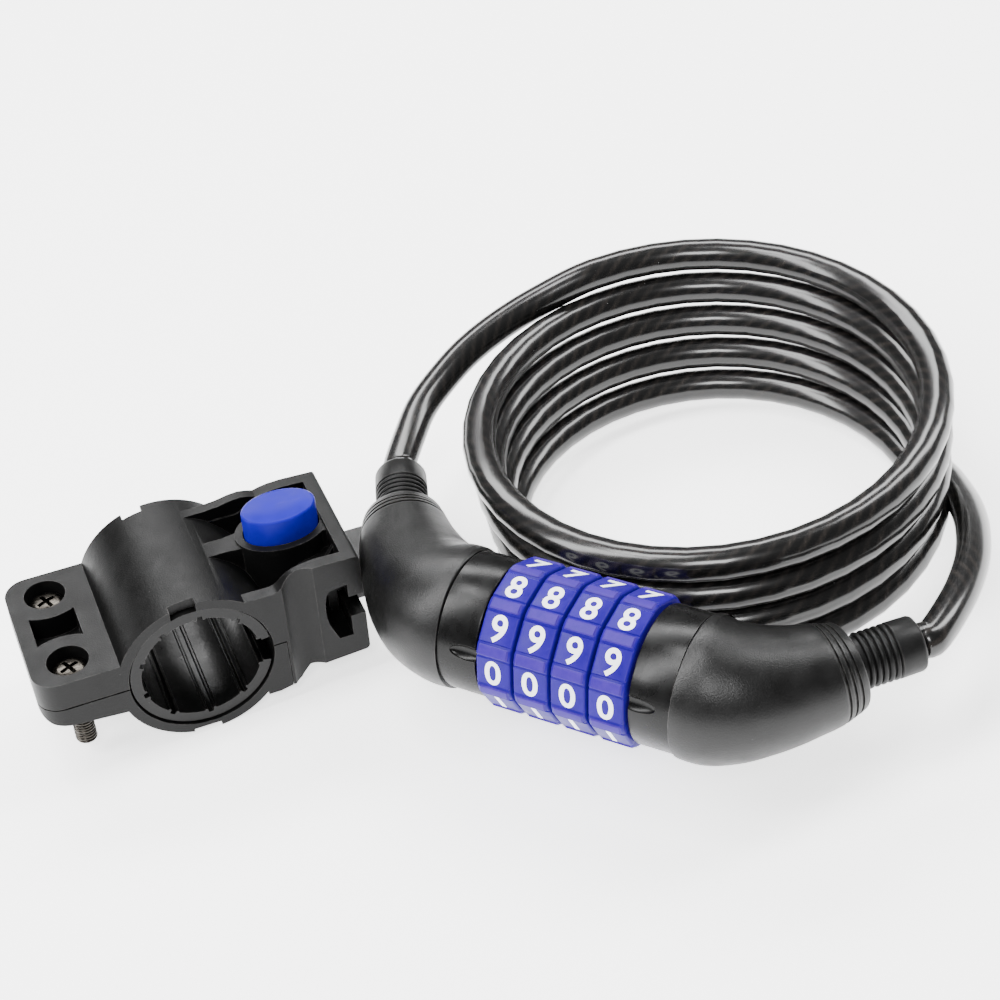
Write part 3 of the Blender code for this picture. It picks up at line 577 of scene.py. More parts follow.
class Tree:
    """A geometry node group built node by node."""

    def __init__(self, name, inputs):
        self.group = bpy.data.node_groups.new(name, "GeometryNodeTree")
        self.group.is_modifier = True
        face = self.group.interface
        face.new_socket("Geometry", in_out="INPUT", socket_type="NodeSocketGeometry")
        self.keys = {label: face.new_socket(label, in_out="INPUT", socket_type=kind).identifier
                     for label, kind in inputs.items()}
        face.new_socket("Geometry", in_out="OUTPUT", socket_type="NodeSocketGeometry")
        self.given = self.group.nodes.new("NodeGroupInput").outputs

    def node(self, kind, inputs=(), **values):
        made = self.group.nodes.new(kind)
        for key, value in values.items():
            setattr(made, key, value)
        for socket, value in dict(inputs).items():
            target = made.inputs[socket]
            if hasattr(value, "is_output"):
                self.group.links.new(value, target)
            else:
                target.default_value = value
        return made.outputs

    def finish(self, geometry, realize=False):
        if realize:
            geometry = self.node("GeometryNodeRealizeInstances", {"Geometry": geometry})["Geometry"]
        geometry = self.node("GeometryNodeSetShadeSmooth", {"Geometry": geometry})[0]
        look = {"Geometry": geometry, "Material": self.given["Material"]}
        geometry = self.node("GeometryNodeSetMaterial", look)[0]
        out = self.group.nodes.new("NodeGroupOutput")
        self.group.links.new(geometry, out.inputs["Geometry"])
        return self

    def grow(self, name, source, place=PLAIN, **values):
        """Runs the tree on an object and returns the mesh that it makes."""
        modifier = source.modifiers.new("tree", "NODES")
        modifier.node_group = self.group
        for label, value in values.items():
            modifier[self.keys[label]] = value
        source.update_tag()
        graph = bpy.context.evaluated_depsgraph_get()
        mesh = bpy.data.meshes.new_from_object(source.evaluated_get(graph), depsgraph=graph)
        bpy.data.objects.remove(source, do_unlink=True)
        mesh.name = name
        mesh.transform(place)
        obj = bpy.data.objects.new(name, mesh)
        bpy.context.scene.collection.objects.link(obj)
        return obj


def seed_object():
    """An empty mesh for a tree that makes its own geometry."""
    obj = bpy.data.objects.new("seed", bpy.data.meshes.new("seed"))
    bpy.context.scene.collection.objects.link(obj)
    return obj


print("tree helper ready")

# %% [markdown]
# ## Trees for the cable and for wound wire
# The jacket follows a curve, and stores where each point lies along it and round it, for the
# vinyl's pattern. Springs and screw threads are one wire wound on a helix, so one tree with
# a few sizes makes them all.

# %% Trees for the cable and for wound wire
def jacket_tree():
    tree = Tree("cable jacket", {"Radius": FLOAT, "Sides": WHOLE, "Offset": FLOAT, "Material": MATERIAL})
    length = tree.node("GeometryNodeSplineParameter")["Length"]
    shifted = tree.node("ShaderNodeMath", {0: length, 1: tree.given["Offset"]}, operation="ADD")[0]
    stored = {"Geometry": tree.given["Geometry"], "Name": "along", "Value": shifted}
    path = tree.node("GeometryNodeStoreNamedAttribute", stored,
                     data_type="FLOAT", domain="POINT")["Geometry"]
    sizes = {"Resolution": tree.given["Sides"], "Radius": tree.given["Radius"]}
    circle = tree.node("GeometryNodeCurvePrimitiveCircle", sizes)["Curve"]
    where = tree.node("GeometryNodeInputPosition")["Position"]
    stored = {"Geometry": circle, "Name": "around", "Value": where}
    circle = tree.node("GeometryNodeStoreNamedAttribute", stored,
                       data_type="FLOAT_VECTOR", domain="POINT")["Geometry"]
    swept = {"Curve": path, "Profile Curve": circle, "Fill Caps": True}
    return tree.finish(tree.node("GeometryNodeCurveToMesh", swept)["Mesh"])


def wire_tree():
    tree = Tree("wound wire", {"Radius": FLOAT, "Height": FLOAT, "Turns": FLOAT, "Wire": FLOAT,
                               "Sides": WHOLE, "Steps": WHOLE, "Material": MATERIAL})
    radius = tree.given["Radius"]
    winding = {"Resolution": tree.given["Steps"], "Rotations": tree.given["Turns"],
               "Start Radius": radius, "End Radius": radius, "Height": tree.given["Height"]}
    helix = tree.node("GeometryNodeCurveSpiral", winding)["Curve"]
    sizes = {"Resolution": tree.given["Sides"], "Radius": tree.given["Wire"]}
    section = tree.node("GeometryNodeCurvePrimitiveCircle", sizes)["Curve"]
    swept = {"Curve": helix, "Profile Curve": section, "Fill Caps": True}
    return tree.finish(tree.node("GeometryNodeCurveToMesh", swept)["Mesh"])


JACKET, WIRE = jacket_tree(), wire_tree()
print("trees:", JACKET.group.name, "and", WIRE.group.name)

# %% [markdown]
# ## Trees for rings and grip bars
# A boot's rings are one ring set out along a line. A dial's ten grip bars are one bar set out
# round a circle, each turned outwards. Instances would be lost in the export, so both trees
# make them real before they end.

# %% Trees for rings and grip bars
HUB_R = 0.01


def ring_tree():
    tree = Tree("ring stack", {"Count": WHOLE, "Pitch": FLOAT, "Radius": FLOAT, "Wire": FLOAT,
                               "Material": MATERIAL})
    step = tree.node("ShaderNodeCombineXYZ", {"Z": tree.given["Pitch"]})["Vector"]
    line = tree.node("GeometryNodeMeshLine", {"Count": tree.given["Count"], "Offset": step})["Mesh"]
    circles = []
    for sides, size in ((72, "Radius"), (16, "Wire")):
        sizes = {"Resolution": sides, "Radius": tree.given[size]}
        circles.append(tree.node("GeometryNodeCurvePrimitiveCircle", sizes)["Curve"])
    ring = tree.node("GeometryNodeCurveToMesh", {"Curve": circles[0], "Profile Curve": circles[1]})["Mesh"]
    stack = tree.node("GeometryNodeInstanceOnPoints", {"Points": line, "Instance": ring})["Instances"]
    return tree.finish(stack, realize=True)


def grip_tree():
    """Bars that lie in their own place: each moves back by the hub's radius once it is turned."""
    tree = Tree("grip bars", {"Count": WHOLE, "Material": MATERIAL})
    hub = tree.node("GeometryNodeMeshCircle", {"Vertices": tree.given["Count"], "Radius": HUB_R})["Mesh"]
    where = tree.node("GeometryNodeInputPosition")["Position"]
    turn = tree.node("FunctionNodeAlignEulerToVector", {"Vector": where},
                     axis="X", pivot_axis="Z")["Rotation"]
    placed = {"Points": hub, "Instance": tree.given["Geometry"], "Rotation": turn}
    bars = tree.node("GeometryNodeInstanceOnPoints", placed)["Instances"]
    back = {"Instances": bars, "Translation": (-HUB_R, 0.0, 0.0), "Local Space": True}
    return tree.finish(tree.node("GeometryNodeTranslateInstances", back)["Instances"], realize=True)


RINGS, GRIPS = ring_tree(), grip_tree()
print("node trees in all:", len(bpy.data.node_groups))

# %% [markdown]
# ## Cable
# The cable leaves the left boot, winds into a coil of a little over four turns, and comes back
# to the right boot. The CAD model has the coil as one ring, so its turns are worked out here,
# each a little lower and smaller than the one above. The two leads are listed points. The right
# lead is a piece of its own, and is attached to no moving part.

# %% Cable
CABLE_R = 4.0 * MM
COIL_X, COIL_Y, COIL_R, COIL_TOP = -5.6 * MM, 77.0 * MM, 55.1 * MM, 11.9 * MM
COIL_DROP, COIL_SHRINK, COIL_DRIFT_X, COIL_DRIFT_Y = 8.05 * MM, 1.1 * MM, 1.55 * MM, -1.7 * MM
COIL_FROM, COIL_TO = -0.15, 4.12
LEFT_LEAD = ((-72.6, 49.8, 0.6), (-74.4, 59.5, 1.8), (-73.8, 69.5, 3.4), (-71.7, 79.0, 5.4),
             (-67.4, 88.6, 7.6), (-60.8, 98.6, 10.0))
RIGHT_LEAD = ((44.6, 101.8, -18.6), (52.0, 93.2, -15.4), (58.2, 83.6, -11.8), (63.0, 73.0, -8.2),
              (66.6, 61.6, -5.0), (68.5, 50.0, -2.5), (68.9, 39.5, -0.8))
LEFT_ELBOW = ((-28.0, 0.0, 16.2), (-31.5, 0.0, 16.3), (-36.2, 1.1, 15.8), (-40.6, 3.5, 14.8),
              (-44.8, 6.8, 13.7), (-48.6, 10.3, 12.7), (-51.8, 13.6, 11.9), (-54.6, 17.0, 11.1),
              (-57.0, 20.2, 10.3), (-58.5, 22.4, 9.6), (-59.7, 24.2, 8.0))
RIGHT_ELBOW = ((28.0, 0.0, 16.2), (31.5, 0.0, 16.2), (36.0, 1.3, 15.3), (40.6, 3.7, 14.1),
               (44.5, 6.4, 13.1), (47.9, 9.3, 12.2), (50.6, 11.9, 11.6), (52.8, 14.4, 10.7),
               (54.4, 16.4, 9.9), (55.6, 17.8, 8.2))
BOOT_LENGTH = 13.6 * MM
BOOT_START = 1.2 * MM
LEFT_HEADING, RIGHT_HEADING = radians(122.5), radians(46.0)
GAP = 0.3 * MM
INSIDE_BOOT = 3.0 * MM
COIL_STEPS = 180


def boot_frame(points, heading):
    """Where a boot starts, past the elbow's last point, and which way it runs."""
    x, y, _ = points[-1]
    along = Vector((cos(heading), sin(heading), 0))
    return Vector((x * MM, y * MM, 0)) + along * BOOT_START, along


def coil_point(turn):
    angle = pi / 2 - 2 * pi * turn
    radius = COIL_R - COIL_SHRINK * turn
    return Vector((COIL_X + COIL_DRIFT_X * turn + radius * cos(angle),
                   COIL_Y + COIL_DRIFT_Y * turn + radius * sin(angle), COIL_TOP - COIL_DROP * turn))


LEFT_BOOT = boot_frame(LEFT_ELBOW, LEFT_HEADING)
RIGHT_BOOT = boot_frame(RIGHT_ELBOW, RIGHT_HEADING)


def cable_routes():
    """The wound piece from inside the left boot, then the right lead from the coil's last turn."""
    start, way = LEFT_BOOT
    inside = start + way * (BOOT_LENGTH - INSIDE_BOOT)
    left = [start + way * (BOOT_LENGTH + GAP + d * MM) for d in (1.5, 4.0)]
    left += [Vector(p) * MM for p in LEFT_LEAD]
    turns = [COIL_FROM + (COIL_TO - COIL_FROM) * i / COIL_STEPS for i in range(COIL_STEPS + 1)]
    wound = [coil_point(t) for t in turns]
    first = [inside] + smooth_path(left + [wound[0], wound[2]], 5)[:-5] + wound[1:]
    start, way = RIGHT_BOOT
    mouth = start + way * (BOOT_LENGTH + GAP)
    right = [coil_point(COIL_TO - 0.03), coil_point(COIL_TO)] + [Vector(p) * MM for p in RIGHT_LEAD]
    right += [mouth + way * (d * MM) for d in (3.2, 1.2)]
    second = smooth_path(right, 5)[5:] + [start + way * (BOOT_LENGTH - INSIDE_BOOT)]
    return [LOCK @ p for p in first], [LOCK @ p for p in second]


def cable(name, route, offset):
    curve = bpy.data.curves.new(name, "CURVE")
    curve.dimensions = "3D"
    spline = curve.splines.new("POLY")
    spline.points.add(len(route) - 1)
    for point, place in zip(spline.points, route):
        point.co = (*place, 1.0)
    source = bpy.data.objects.new("route", curve)
    bpy.context.scene.collection.objects.link(source)
    return JACKET.grow(name, source, Radius=CABLE_R, Sides=28, Offset=offset, Material=VINYL)


first_route, second_route = cable_routes()
first_length, second_length = path_length(first_route), path_length(second_route)
cable_wound = cable("cable_wound", first_route, 0.0)
cable_return = cable("cable_return", second_route, first_length)
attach(cable_wound, "lock")
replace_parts(cable_wound, "cable_lead_left", "cable_coil")
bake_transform(cable_return)
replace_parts(cable_return, "cable_lead_right")
print("cable:", round(first_length + second_length, 3), "m")

# %% [markdown]
# ## Dials
# Each dial is a moulded ring with ten flats for the digits. It could be cut from a cylinder,
# but a loft of one outline from rim to rim gives the flats, the low step beside each grip bar
# and the rounded rims at once. The grip bars are a piece of their own, in a duller blue.

# %% Dials
DIAL_PITCH, DIAL_WIDTH = 9.0 * MM, 8.3 * MM
FLAT_R, RIDGE_R, DIAL_BORE_R = 16.3 * MM, 17.1 * MM, 11.0 * MM
DIGIT_STEP = 2 * pi / 10
ZERO_ANGLE = radians(12.1)
# share of a digit's step, and rise in millimetres over the flat
FLAT_RISES = ((0.0, 0.0), (0.1, 0.03), (0.22, 0.15), (0.31, 0.32), (0.335, 0.1), (0.40, 0.5))
# distance in from a rim, and how much smaller the dial is there, both in millimetres
RIM = ((0.0, 0.55), (0.08, 0.3), (0.25, 0.1), (0.5, 0.0))


def dial_ring():
    """Ten flats and the low steps beside each bar, lofted from rim to rim about Z."""
    one_flat = [(-0.5, 0.5)] + [(-share, rise) for share, rise in FLAT_RISES[:0:-1]] + list(FLAT_RISES)
    points = []
    for k in range(10):
        for share, rise in one_flat:
            turn, radius = (k + share) * DIGIT_STEP, FLAT_R + rise * MM
            points.append((radius * cos(turn), radius * sin(turn)))
    half = DIAL_WIDTH / 2
    heights = [(-half + inward * MM, shrink) for inward, shrink in RIM]
    heights += [(half - inward * MM, shrink) for inward, shrink in RIM[::-1]]
    rings = []
    for height, shrink in heights:
        scale = 1 - shrink * MM / RIDGE_R
        rings.append([Vector((a * scale, b * scale, height)) for a, b in points])
    for height in (half, -half):
        bore = []
        for a, b in points:
            reach = sqrt(a * a + b * b)
            bore.append(Vector((DIAL_BORE_R * a / reach, DIAL_BORE_R * b / reach, height)))
        rings.append(bore)
    return loft(rings, closed=True)


def grip_bar():
    """One bar, lying along Z at its own place on the dial."""
    half, wide, top = DIAL_WIDTH / 2 - 0.4 * MM, 1.25 * MM, RIDGE_R
    corner, slope = top - 0.26 * MM, top - 0.08 * MM
    outline = [(FLAT_R, -wide), (corner, -wide), (slope, -wide + 0.2 * MM), (top, 0.0),
               (slope, wide - 0.2 * MM), (corner, wide), (FLAT_R, wide)]
    rings, bevel, end = [], 0.5 * MM, 0.45 * MM
    for height, drop in ((-half, end), (-half + bevel, 0.0), (half - bevel, 0.0), (half, end)):
        rings.append([Vector((a - (drop if a > FLAT_R else 0.0), b, height)) for a, b in outline])
    return loft(rings)


print("a dial:", round(2 * RIDGE_R / MM, 1), "mm across its bars,", round(DIAL_WIDTH / MM, 1), "mm wide")

# %% [markdown]
# ## Digits
# The digits are printed on the flats and read along the barrel. A text object gives their
# shapes. Each is made a mesh before it is placed, and centred on its own outline, because text
# is centred on its line and not on what is printed.

# %% Digits
DIGIT_HEIGHT, DIGIT_THICK, DIGIT_BOLD = 8.3 * MM, 0.05 * MM, 0.16 * MM
DIGIT_NARROW = 0.97
DIGIT_LIFT = 0.02 * MM


def digit_mesh(digit):
    curve = bpy.data.curves.new("digit", "FONT")
    curve.body = str(digit)
    curve.size = DIGIT_HEIGHT
    curve.align_x, curve.align_y = "CENTER", "CENTER"
    curve.extrude = DIGIT_THICK
    curve.offset = DIGIT_BOLD
    source = bpy.data.objects.new("digit", curve)
    bpy.context.scene.collection.objects.link(source)
    graph = bpy.context.evaluated_depsgraph_get()
    mesh = bpy.data.meshes.new_from_object(source.evaluated_get(graph), depsgraph=graph)
    bpy.data.objects.remove(source, do_unlink=True)
    low = [min(v.co[i] for v in mesh.vertices) for i in (0, 1)]
    high = [max(v.co[i] for v in mesh.vertices) for i in (0, 1)]
    mesh.transform(Matrix.Translation((-(low[0] + high[0]) / 2, -(low[1] + high[1]) / 2, 0)))
    mesh.transform(Matrix.Diagonal((DIGIT_NARROW, 1.0, 1.0, 1.0)))
    return mesh


def barrel_side(angle):
    """Outwards and up, on the barrel's front at an angle above level."""
    return Vector((0, -cos(angle), sin(angle))), Vector((0, sin(angle), cos(angle)))


def digit_place(digit):
    """Where a digit stands on its dial: outwards, upright, reading along the barrel."""
    out, up = barrel_side(ZERO_ANGLE - digit * DIGIT_STEP)
    place = Matrix((Vector((1, 0, 0)), up, out)).transposed().to_4x4()
    place.translation = out * (FLAT_R + DIGIT_LIFT)
    return place


def make_dials():
    digits = [digit_mesh(d) for d in range(10)]
    # the dial is made about Z with a flat towards +X, then turned onto the barrel
    out, up = barrel_side(ZERO_ANGLE)
    turn = Matrix((out, -up, Vector((1, 0, 0)))).transposed().to_4x4()
    for k in range(4):
        place = LOCK @ Matrix.Translation(((k - 1.5) * DIAL_PITCH, 0, 0))
        ring = add(f"dial_face_{k + 1}", dial_ring(), DIAL_BLUE, place @ turn, 28.0)
        bar = add("bar", grip_bar(), None)
        between = place @ turn @ Matrix.Rotation(DIGIT_STEP / 2, 4, "Z")
        bars = GRIPS.grow(f"dial_grips_{k + 1}", bar, between, Count=10, Material=RIDGE_BLUE)
        smooth(bars, 28.0)
        bm = bmesh.new()
        for digit, mesh in enumerate(digits):
            copy = mesh.copy()
            copy.transform(digit_place(digit))
            bm.from_mesh(copy)
        marks = add(f"dial_digits_{k + 1}", bm, WHITE, place, 30.0)
        for piece in (ring, bars, marks):
            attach(piece, f"dial_{k + 1}_set")
        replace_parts(ring, f"dial_{k + 1}")
    return 4 * len(digits)


print("digits on four dials:", make_dials())

# %% [markdown]
# ## Collars
# A glossy collar stands at each end of the dials, with a lens-shaped hollow that shows which
# digit counts. The collar is a turned ring, and the hollow is what a flattened ball leaves
# when it is cut from its surface, which keeps a crisp rim.

# %% Collars
MARK_ANGLE = radians(21.0)
MARK_X, MARK_DEPTH_R = 20.4 * MM, 15.75 * MM
MARK_HALF_SIZES = (4.3 * MM, 1.75 * MM, 1.1 * MM, 1.0)
COLLAR_NEAR, COLLAR_FAR, COLLAR_R, COLLAR_BORE_R = 18.3 * MM, 27.75 * MM, 15.7 * MM, 7.0 * MM


def index_cutter(side):
    bm = bmesh.new()
    bmesh.ops.create_uvsphere(bm, u_segments=48, v_segments=32, radius=1.0)
    bm.transform(Matrix.Diagonal(MARK_HALF_SIZES))
    out, up = barrel_side(MARK_ANGLE)
    place = Matrix((Vector((1, 0, 0)), up, out)).transposed().to_4x4()
    place.translation = out * MARK_DEPTH_R + Vector((side * MARK_X, 0, 0))
    bm.transform(place)
    return bm


def make_collar(name, side, body):
    near, far, radius, bore = COLLAR_NEAR, COLLAR_FAR, COLLAR_R, COLLAR_BORE_R
    profile = [(near, bore), (near, radius - 0.35 * MM), (near + 0.1 * MM, radius - 0.1 * MM),
               (near + 0.35 * MM, radius), (far, radius), (far, bore)]
    profile = [(side * x, r) for x, r in profile]
    collar = add(name, turned(profile, sides=160, tube=True), GLOSS, PLAIN, 30.0)
    cut(collar, index_cutter(side))
    collar.data.transform(LOCK)
    smooth(collar, 30.0)
    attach(collar, body)
    return collar


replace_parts(make_collar("collar_shell_left", -1, "lock"), "collar_left")
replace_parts(make_collar("collar_shell_right", 1, "lock"), "collar_right")
print("collars:", round((COLLAR_FAR - COLLAR_NEAR) / MM, 2), "mm long each")

# %% [markdown]
# ## Elbows
# The two elbows bend the cable away from the barrel and get thinner on the way. They are lofted
# along their bend, with a radius at each of the points that the cable section also uses. Three
# fine steps ring the end of each. They are put into the loft's radii, which costs no Boolean.

# %% Elbows
STEP_PLACES = (1.5, 2.9, 4.3)
ELBOW_SIDES, ELBOW_WALL, ELBOW_BORE_R = 112, 2.3 * MM, 4.6 * MM


def bent_rings(path, radii, sides):
    """Upright rings square to a level path."""
    turns = [2 * pi * k / sides for k in range(sides)]
    rings = []
    for i, point in enumerate(path):
        along = (path[min(i + 1, len(path) - 1)] - path[max(i - 1, 0)]).normalized()
        across = Vector((-along.y, along.x, 0.0))
        rings.append([point + (across * cos(turn) + Z_AXIS * sin(turn)) * radii[i] for turn in turns])
    return rings


def shoulder_rings(to_end, radius):
    """The radius near an elbow's end, where three fine steps run round it."""
    for start in STEP_PLACES:
        within = to_end / MM - start
        if 0.0 <= within < 0.32:
            return radius - 0.42 * MM
        if 0.32 <= within < 0.62:
            return radius - 0.12 * MM
    return radius


def make_elbow(name, points, body):
    path = smooth_path([Vector((x * MM, y * MM, r * MM)) for x, y, r in points[:-1]], 24)
    radii = [p.z for p in path]
    path = [Vector((p.x, p.y, 0.0)) for p in path]
    total = path_length(path)
    gone, fine = 0.0, []
    for i, radius in enumerate(radii):
        if i:
            gone += (path[i] - path[i - 1]).length
        near_mouth = gone / MM
        edge = 0.35 * MM * (1 - min(1.0, near_mouth / 0.5)) ** 2
        fine.append(shoulder_rings(total - gone, radius) - edge)
    # a rounded end face that turns in to the boot
    last, before = path[-1], path[-2]
    way = (last - before).normalized()
    for step, drop in ((0.25, 0.12), (0.45, 0.35), (0.58, 0.8), (0.62, 2.4)):
        path.append(last + way * (step * MM))
        fine.append(radii[-1] - drop * MM)
    outer = bent_rings(path, fine, ELBOW_SIDES)
    inner = bent_rings(path, [max(r - ELBOW_WALL, ELBOW_BORE_R) for r in fine], ELBOW_SIDES)
    elbow = add(name, loft(outer + inner[::-1], closed=True), SATIN, LOCK, 40.0)
    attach(elbow, body)
    return elbow


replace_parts(make_elbow("elbow_shell_left", LEFT_ELBOW, "lock"), "elbow_left")
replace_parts(make_elbow("elbow_shell_right", RIGHT_ELBOW, "plug"), "elbow_right")
print("elbows: left and right")

# %% [markdown]
# ## Boots
# A rubber boot keeps the cable from kinking where it enters the elbow. Five rings make its root
# bend easily. The sleeve is turned, and the rings are a separate stack of thin loops over it,
# because a loop keeps its round edge in the light.

# %% Boots
BOOT_R, RIBBED_LENGTH = 6.3 * MM, 7.4 * MM
RIB_R, RIB_PITCH, RIB_FIRST = 0.62 * MM, 1.5 * MM, 0.7 * MM


def make_boot(name, frame_, body):
    """A boot: stacked rings at its root, and a plain rounded mouth."""
    start, along = frame_
    root, waist = -1.5 * MM, BOOT_R - 0.75 * MM
    profile = [(root, 4.3 * MM), (root, waist), (RIBBED_LENGTH - 0.2 * MM, waist),
               (RIBBED_LENGTH, BOOT_R - 0.3 * MM), (RIBBED_LENGTH + 0.3 * MM, BOOT_R),
               (BOOT_LENGTH - 0.9 * MM, BOOT_R - 0.1 * MM), (BOOT_LENGTH - 0.35 * MM, BOOT_R - 0.35 * MM),
               (BOOT_LENGTH - 0.05 * MM, BOOT_R - 0.9 * MM), (BOOT_LENGTH, 4.6 * MM),
               (BOOT_LENGTH - 1.2 * MM, 4.2 * MM)]
    boot = add(name, turned(profile, start, along, 96, tube=True), BOOT, LOCK, 40.0)
    frame_z = along.to_track_quat("Z", "Y").to_matrix().to_4x4()
    frame_z.translation = start + along * RIB_FIRST
    rings = RINGS.grow(f"{name}_rings", seed_object(), LOCK @ frame_z, Count=5, Pitch=RIB_PITCH,
                       Radius=BOOT_R - RIB_R, Wire=RIB_R, Material=BOOT)
    for piece in (boot, rings):
        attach(piece, body)
    return boot


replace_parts(make_boot("boot_sleeve_left", LEFT_BOOT, "lock"), "boot_left")
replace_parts(make_boot("boot_sleeve_right", RIGHT_BOOT, "plug"), "boot_right")
print("boots:", round(BOOT_LENGTH / MM, 1), "mm long each")

# %% [markdown]
# ## Bracket sizes and outlines
# The bracket clamps round a seat post, and a block beside the ring holds the lock. Its sizes
# stand together here, because the two halves, the screws, the button and the lug have to
# meet. The outlines are drawn from the front, across and up from the bore's middle.

# %% Bracket sizes and outlines
RING_R, BORE_R, RING_DEPTH = 19.5 * MM, 17.0 * MM, 38.5 * MM
SPLIT = 0.18 * MM
EAR_LEFT, EAR_TOP, EAR_BOTTOM, EAR_CORNER_R = -37.3 * MM, 7.6 * MM, -5.4 * MM, 5.5 * MM
EAR_ROOT = -15 * MM
SCREW_X, SCREW_YS = -28.4 * MM, (7.2 * MM, 31.2 * MM)
SCREW_HOLE_R = 2.8 * MM
BLOCK_RIGHT, BLOCK_TOP, BLOCK_LOW, BLOCK_DEPTH = 39.5 * MM, 19.0 * MM, -9.7 * MM, 33.6 * MM
BLOCK_LEFT = 20.2 * MM
BUTTON_X, BUTTON_Y, BUTTON_A, BUTTON_B = 26.6 * MM, 18.2 * MM, 8.8 * MM, 5.9 * MM
SPRING_X = 23.4 * MM
POCKET_FLOOR, TUBE_TOP = 13.2 * MM, 18.3 * MM
SLOT_LEFT, SLOT_RIGHT, SLOT_LOW, SLOT_TOP = 30.4 * MM, 35.9 * MM, -4.0 * MM, 11.6 * MM
NECK_LOW, NECK_TOP = 1.8 * MM, 7.8 * MM
BEYOND = 2 * MM


def half_disc(radius, upper):
    edge = degrees(acos(SPLIT / radius))
    middle = 90 if upper else 270
    return arc(0, 0, radius, middle - edge, middle + edge, 72)


def block_outline():
    """The block: a straight right side, and a top that dips in a wave towards the ring."""
    points = [(BLOCK_LEFT, BLOCK_LOW - 4.2 * MM), (22.6 * MM, BLOCK_LOW - 3.6 * MM),
              (25.2 * MM, BLOCK_LOW - 0.8 * MM)]
    points += arc(BLOCK_RIGHT - 1.2 * MM, BLOCK_LOW + 1.2 * MM, 1.2 * MM, -90, 0, 5)
    points += arc(BLOCK_RIGHT - 0.9 * MM, BLOCK_TOP - 0.9 * MM, 0.9 * MM, 0, 90, 4)
    points += mm((31.0, 19.4), (28.0, 19.3), (26.0, 19.0), (24.4, 18.6), (23.0, 18.0), (21.9, 17.2),
                 (20.9, 16.3), (19.9, 15.6), (18.8, 15.2), (17.0, 15.2), (10.0, 15.4), (10.0, 12.0))
    return points + [(17.4 * MM, SPLIT), (BLOCK_LEFT, SPLIT)]


def slot_outline():
    """The T-slot: a bowed left wall, and a neck that opens through the block's right side."""
    open_end = BLOCK_RIGHT + BEYOND
    bow = mm((0.4, 9.8), (0, 8.0), (-0.2, 5.4), (-0.1, 3.2), (0.3, 1.0), (1.0, -1.0))
    points = [(SLOT_RIGHT, NECK_TOP), (SLOT_RIGHT, SLOT_TOP), (SLOT_LEFT + 1.2 * MM, SLOT_TOP - 0.5 * MM)]
    points += [(SLOT_LEFT + x, z) for x, z in bow]
    points += [(SLOT_LEFT + 2.2 * MM, SLOT_LOW), (SLOT_RIGHT, SLOT_LOW), (SLOT_RIGHT, NECK_LOW)]
    return points + [(open_end, NECK_LOW), (open_end, NECK_TOP)]


def ear_outline(inner):
    """The ear from above, with two rounded corners."""
    r, x, depth = EAR_CORNER_R, EAR_LEFT + EAR_CORNER_R, RING_DEPTH
    return [(inner, 0), (inner, depth)] + arc(x, depth - r, r, 90, 180, 12) + arc(x, r, r, 180, 270, 12)


def cylinder(x, y, low, high, radius, sides=64):
    return turned(((low, radius), (high, radius)), Vector((x, y, 0)), Z_AXIS, sides)


print("bracket:", round((BLOCK_RIGHT - EAR_LEFT) / MM, 1), "by", round(RING_DEPTH / MM, 1), "mm")

# %% [markdown]
# ## Upper half: what is solid
# The upper half is one moulding: a block with a hollow top, half of the ring, an ear, the
# button's oval tube, and a web that ties the tube to the ring. It is built as a moulder would
# think of it, each part joined to the block in turn. The block is hollowed first, so that the
# tube and the web stand up from the pocket's floor.

# %% Upper half: what is solid
POCKET_WALL = 3.0 * MM
REAR_WAVE = ((6, 13.6), (36, 13.6), (36, 18.6), (30, 18.9), (27.5, 18.3), (25, 18.3), (22.5, 19.1),
             (20.5, 19.5), (18, 19.3), (15, 18.7), (11, 18.4), (6, 18.4))


def block_solid():
    block = add("clamp_top", prism(block_outline(), 0, BLOCK_DEPTH), BRACKET_BLACK)
    # a round scoop down the front edge, beside the ring
    cut(block, cylinder(24.6 * MM, -3.7 * MM, -30 * MM, 40 * MM, 5.3 * MM))
    inside, back = BLOCK_RIGHT - 3.6 * MM, BLOCK_DEPTH - POCKET_WALL
    cut(block, box((8 * MM, POCKET_WALL, POCKET_FLOOR), (inside, back, 30 * MM)))
    cut(block, box((8 * MM, POCKET_WALL, 0.9 * MM), (27.6 * MM, back, POCKET_FLOOR + 1 * MM)))
    wave = prism(mm(*REAR_WAVE), BLOCK_DEPTH - 2.6 * MM, BLOCK_DEPTH - 0.05 * MM)
    return cut(block, wave, operation="UNION")


def join_ring_and_tube(upper):
    cut(upper, prism(half_disc(RING_R, True), 0, RING_DEPTH), operation="UNION")
    cut(upper, prism(ear_outline(EAR_ROOT), SPLIT, EAR_TOP, "Z"), operation="UNION")
    tube = oval(BUTTON_X, BUTTON_Y, BUTTON_A + 2.2 * MM, BUTTON_B + 2.2 * MM)
    cut(upper, prism(tube, 0.6 * MM, TUBE_TOP, "Z"), operation="UNION")
    flare, foot = BUTTON_X - 9.6 * MM, BUTTON_X - 8.0 * MM
    web = mm((6, 20.8), (13, 20.8)) + [(flare, 21.4 * MM), (foot, 22.6 * MM), (foot, 14.0 * MM),
                                       (flare, 15.2 * MM)] + mm((13, 15.8), (6, 15.8))
    cut(upper, prism(web, 0.6 * MM, TUBE_TOP - 0.6 * MM, "Z"), operation="UNION")
    # the tube meets the right wall, and a small rib stands in the corner
    cut(upper, box((30 * MM, 12.8 * MM, 12.8 * MM), (36.2 * MM, 23.8 * MM, TUBE_TOP)), operation="UNION")
    rib = mm((33.2, 13), (36.2, 13), (36.2, 17.2))
    return cut(upper, prism(rib, 8.2 * MM, 9.2 * MM), operation="UNION")


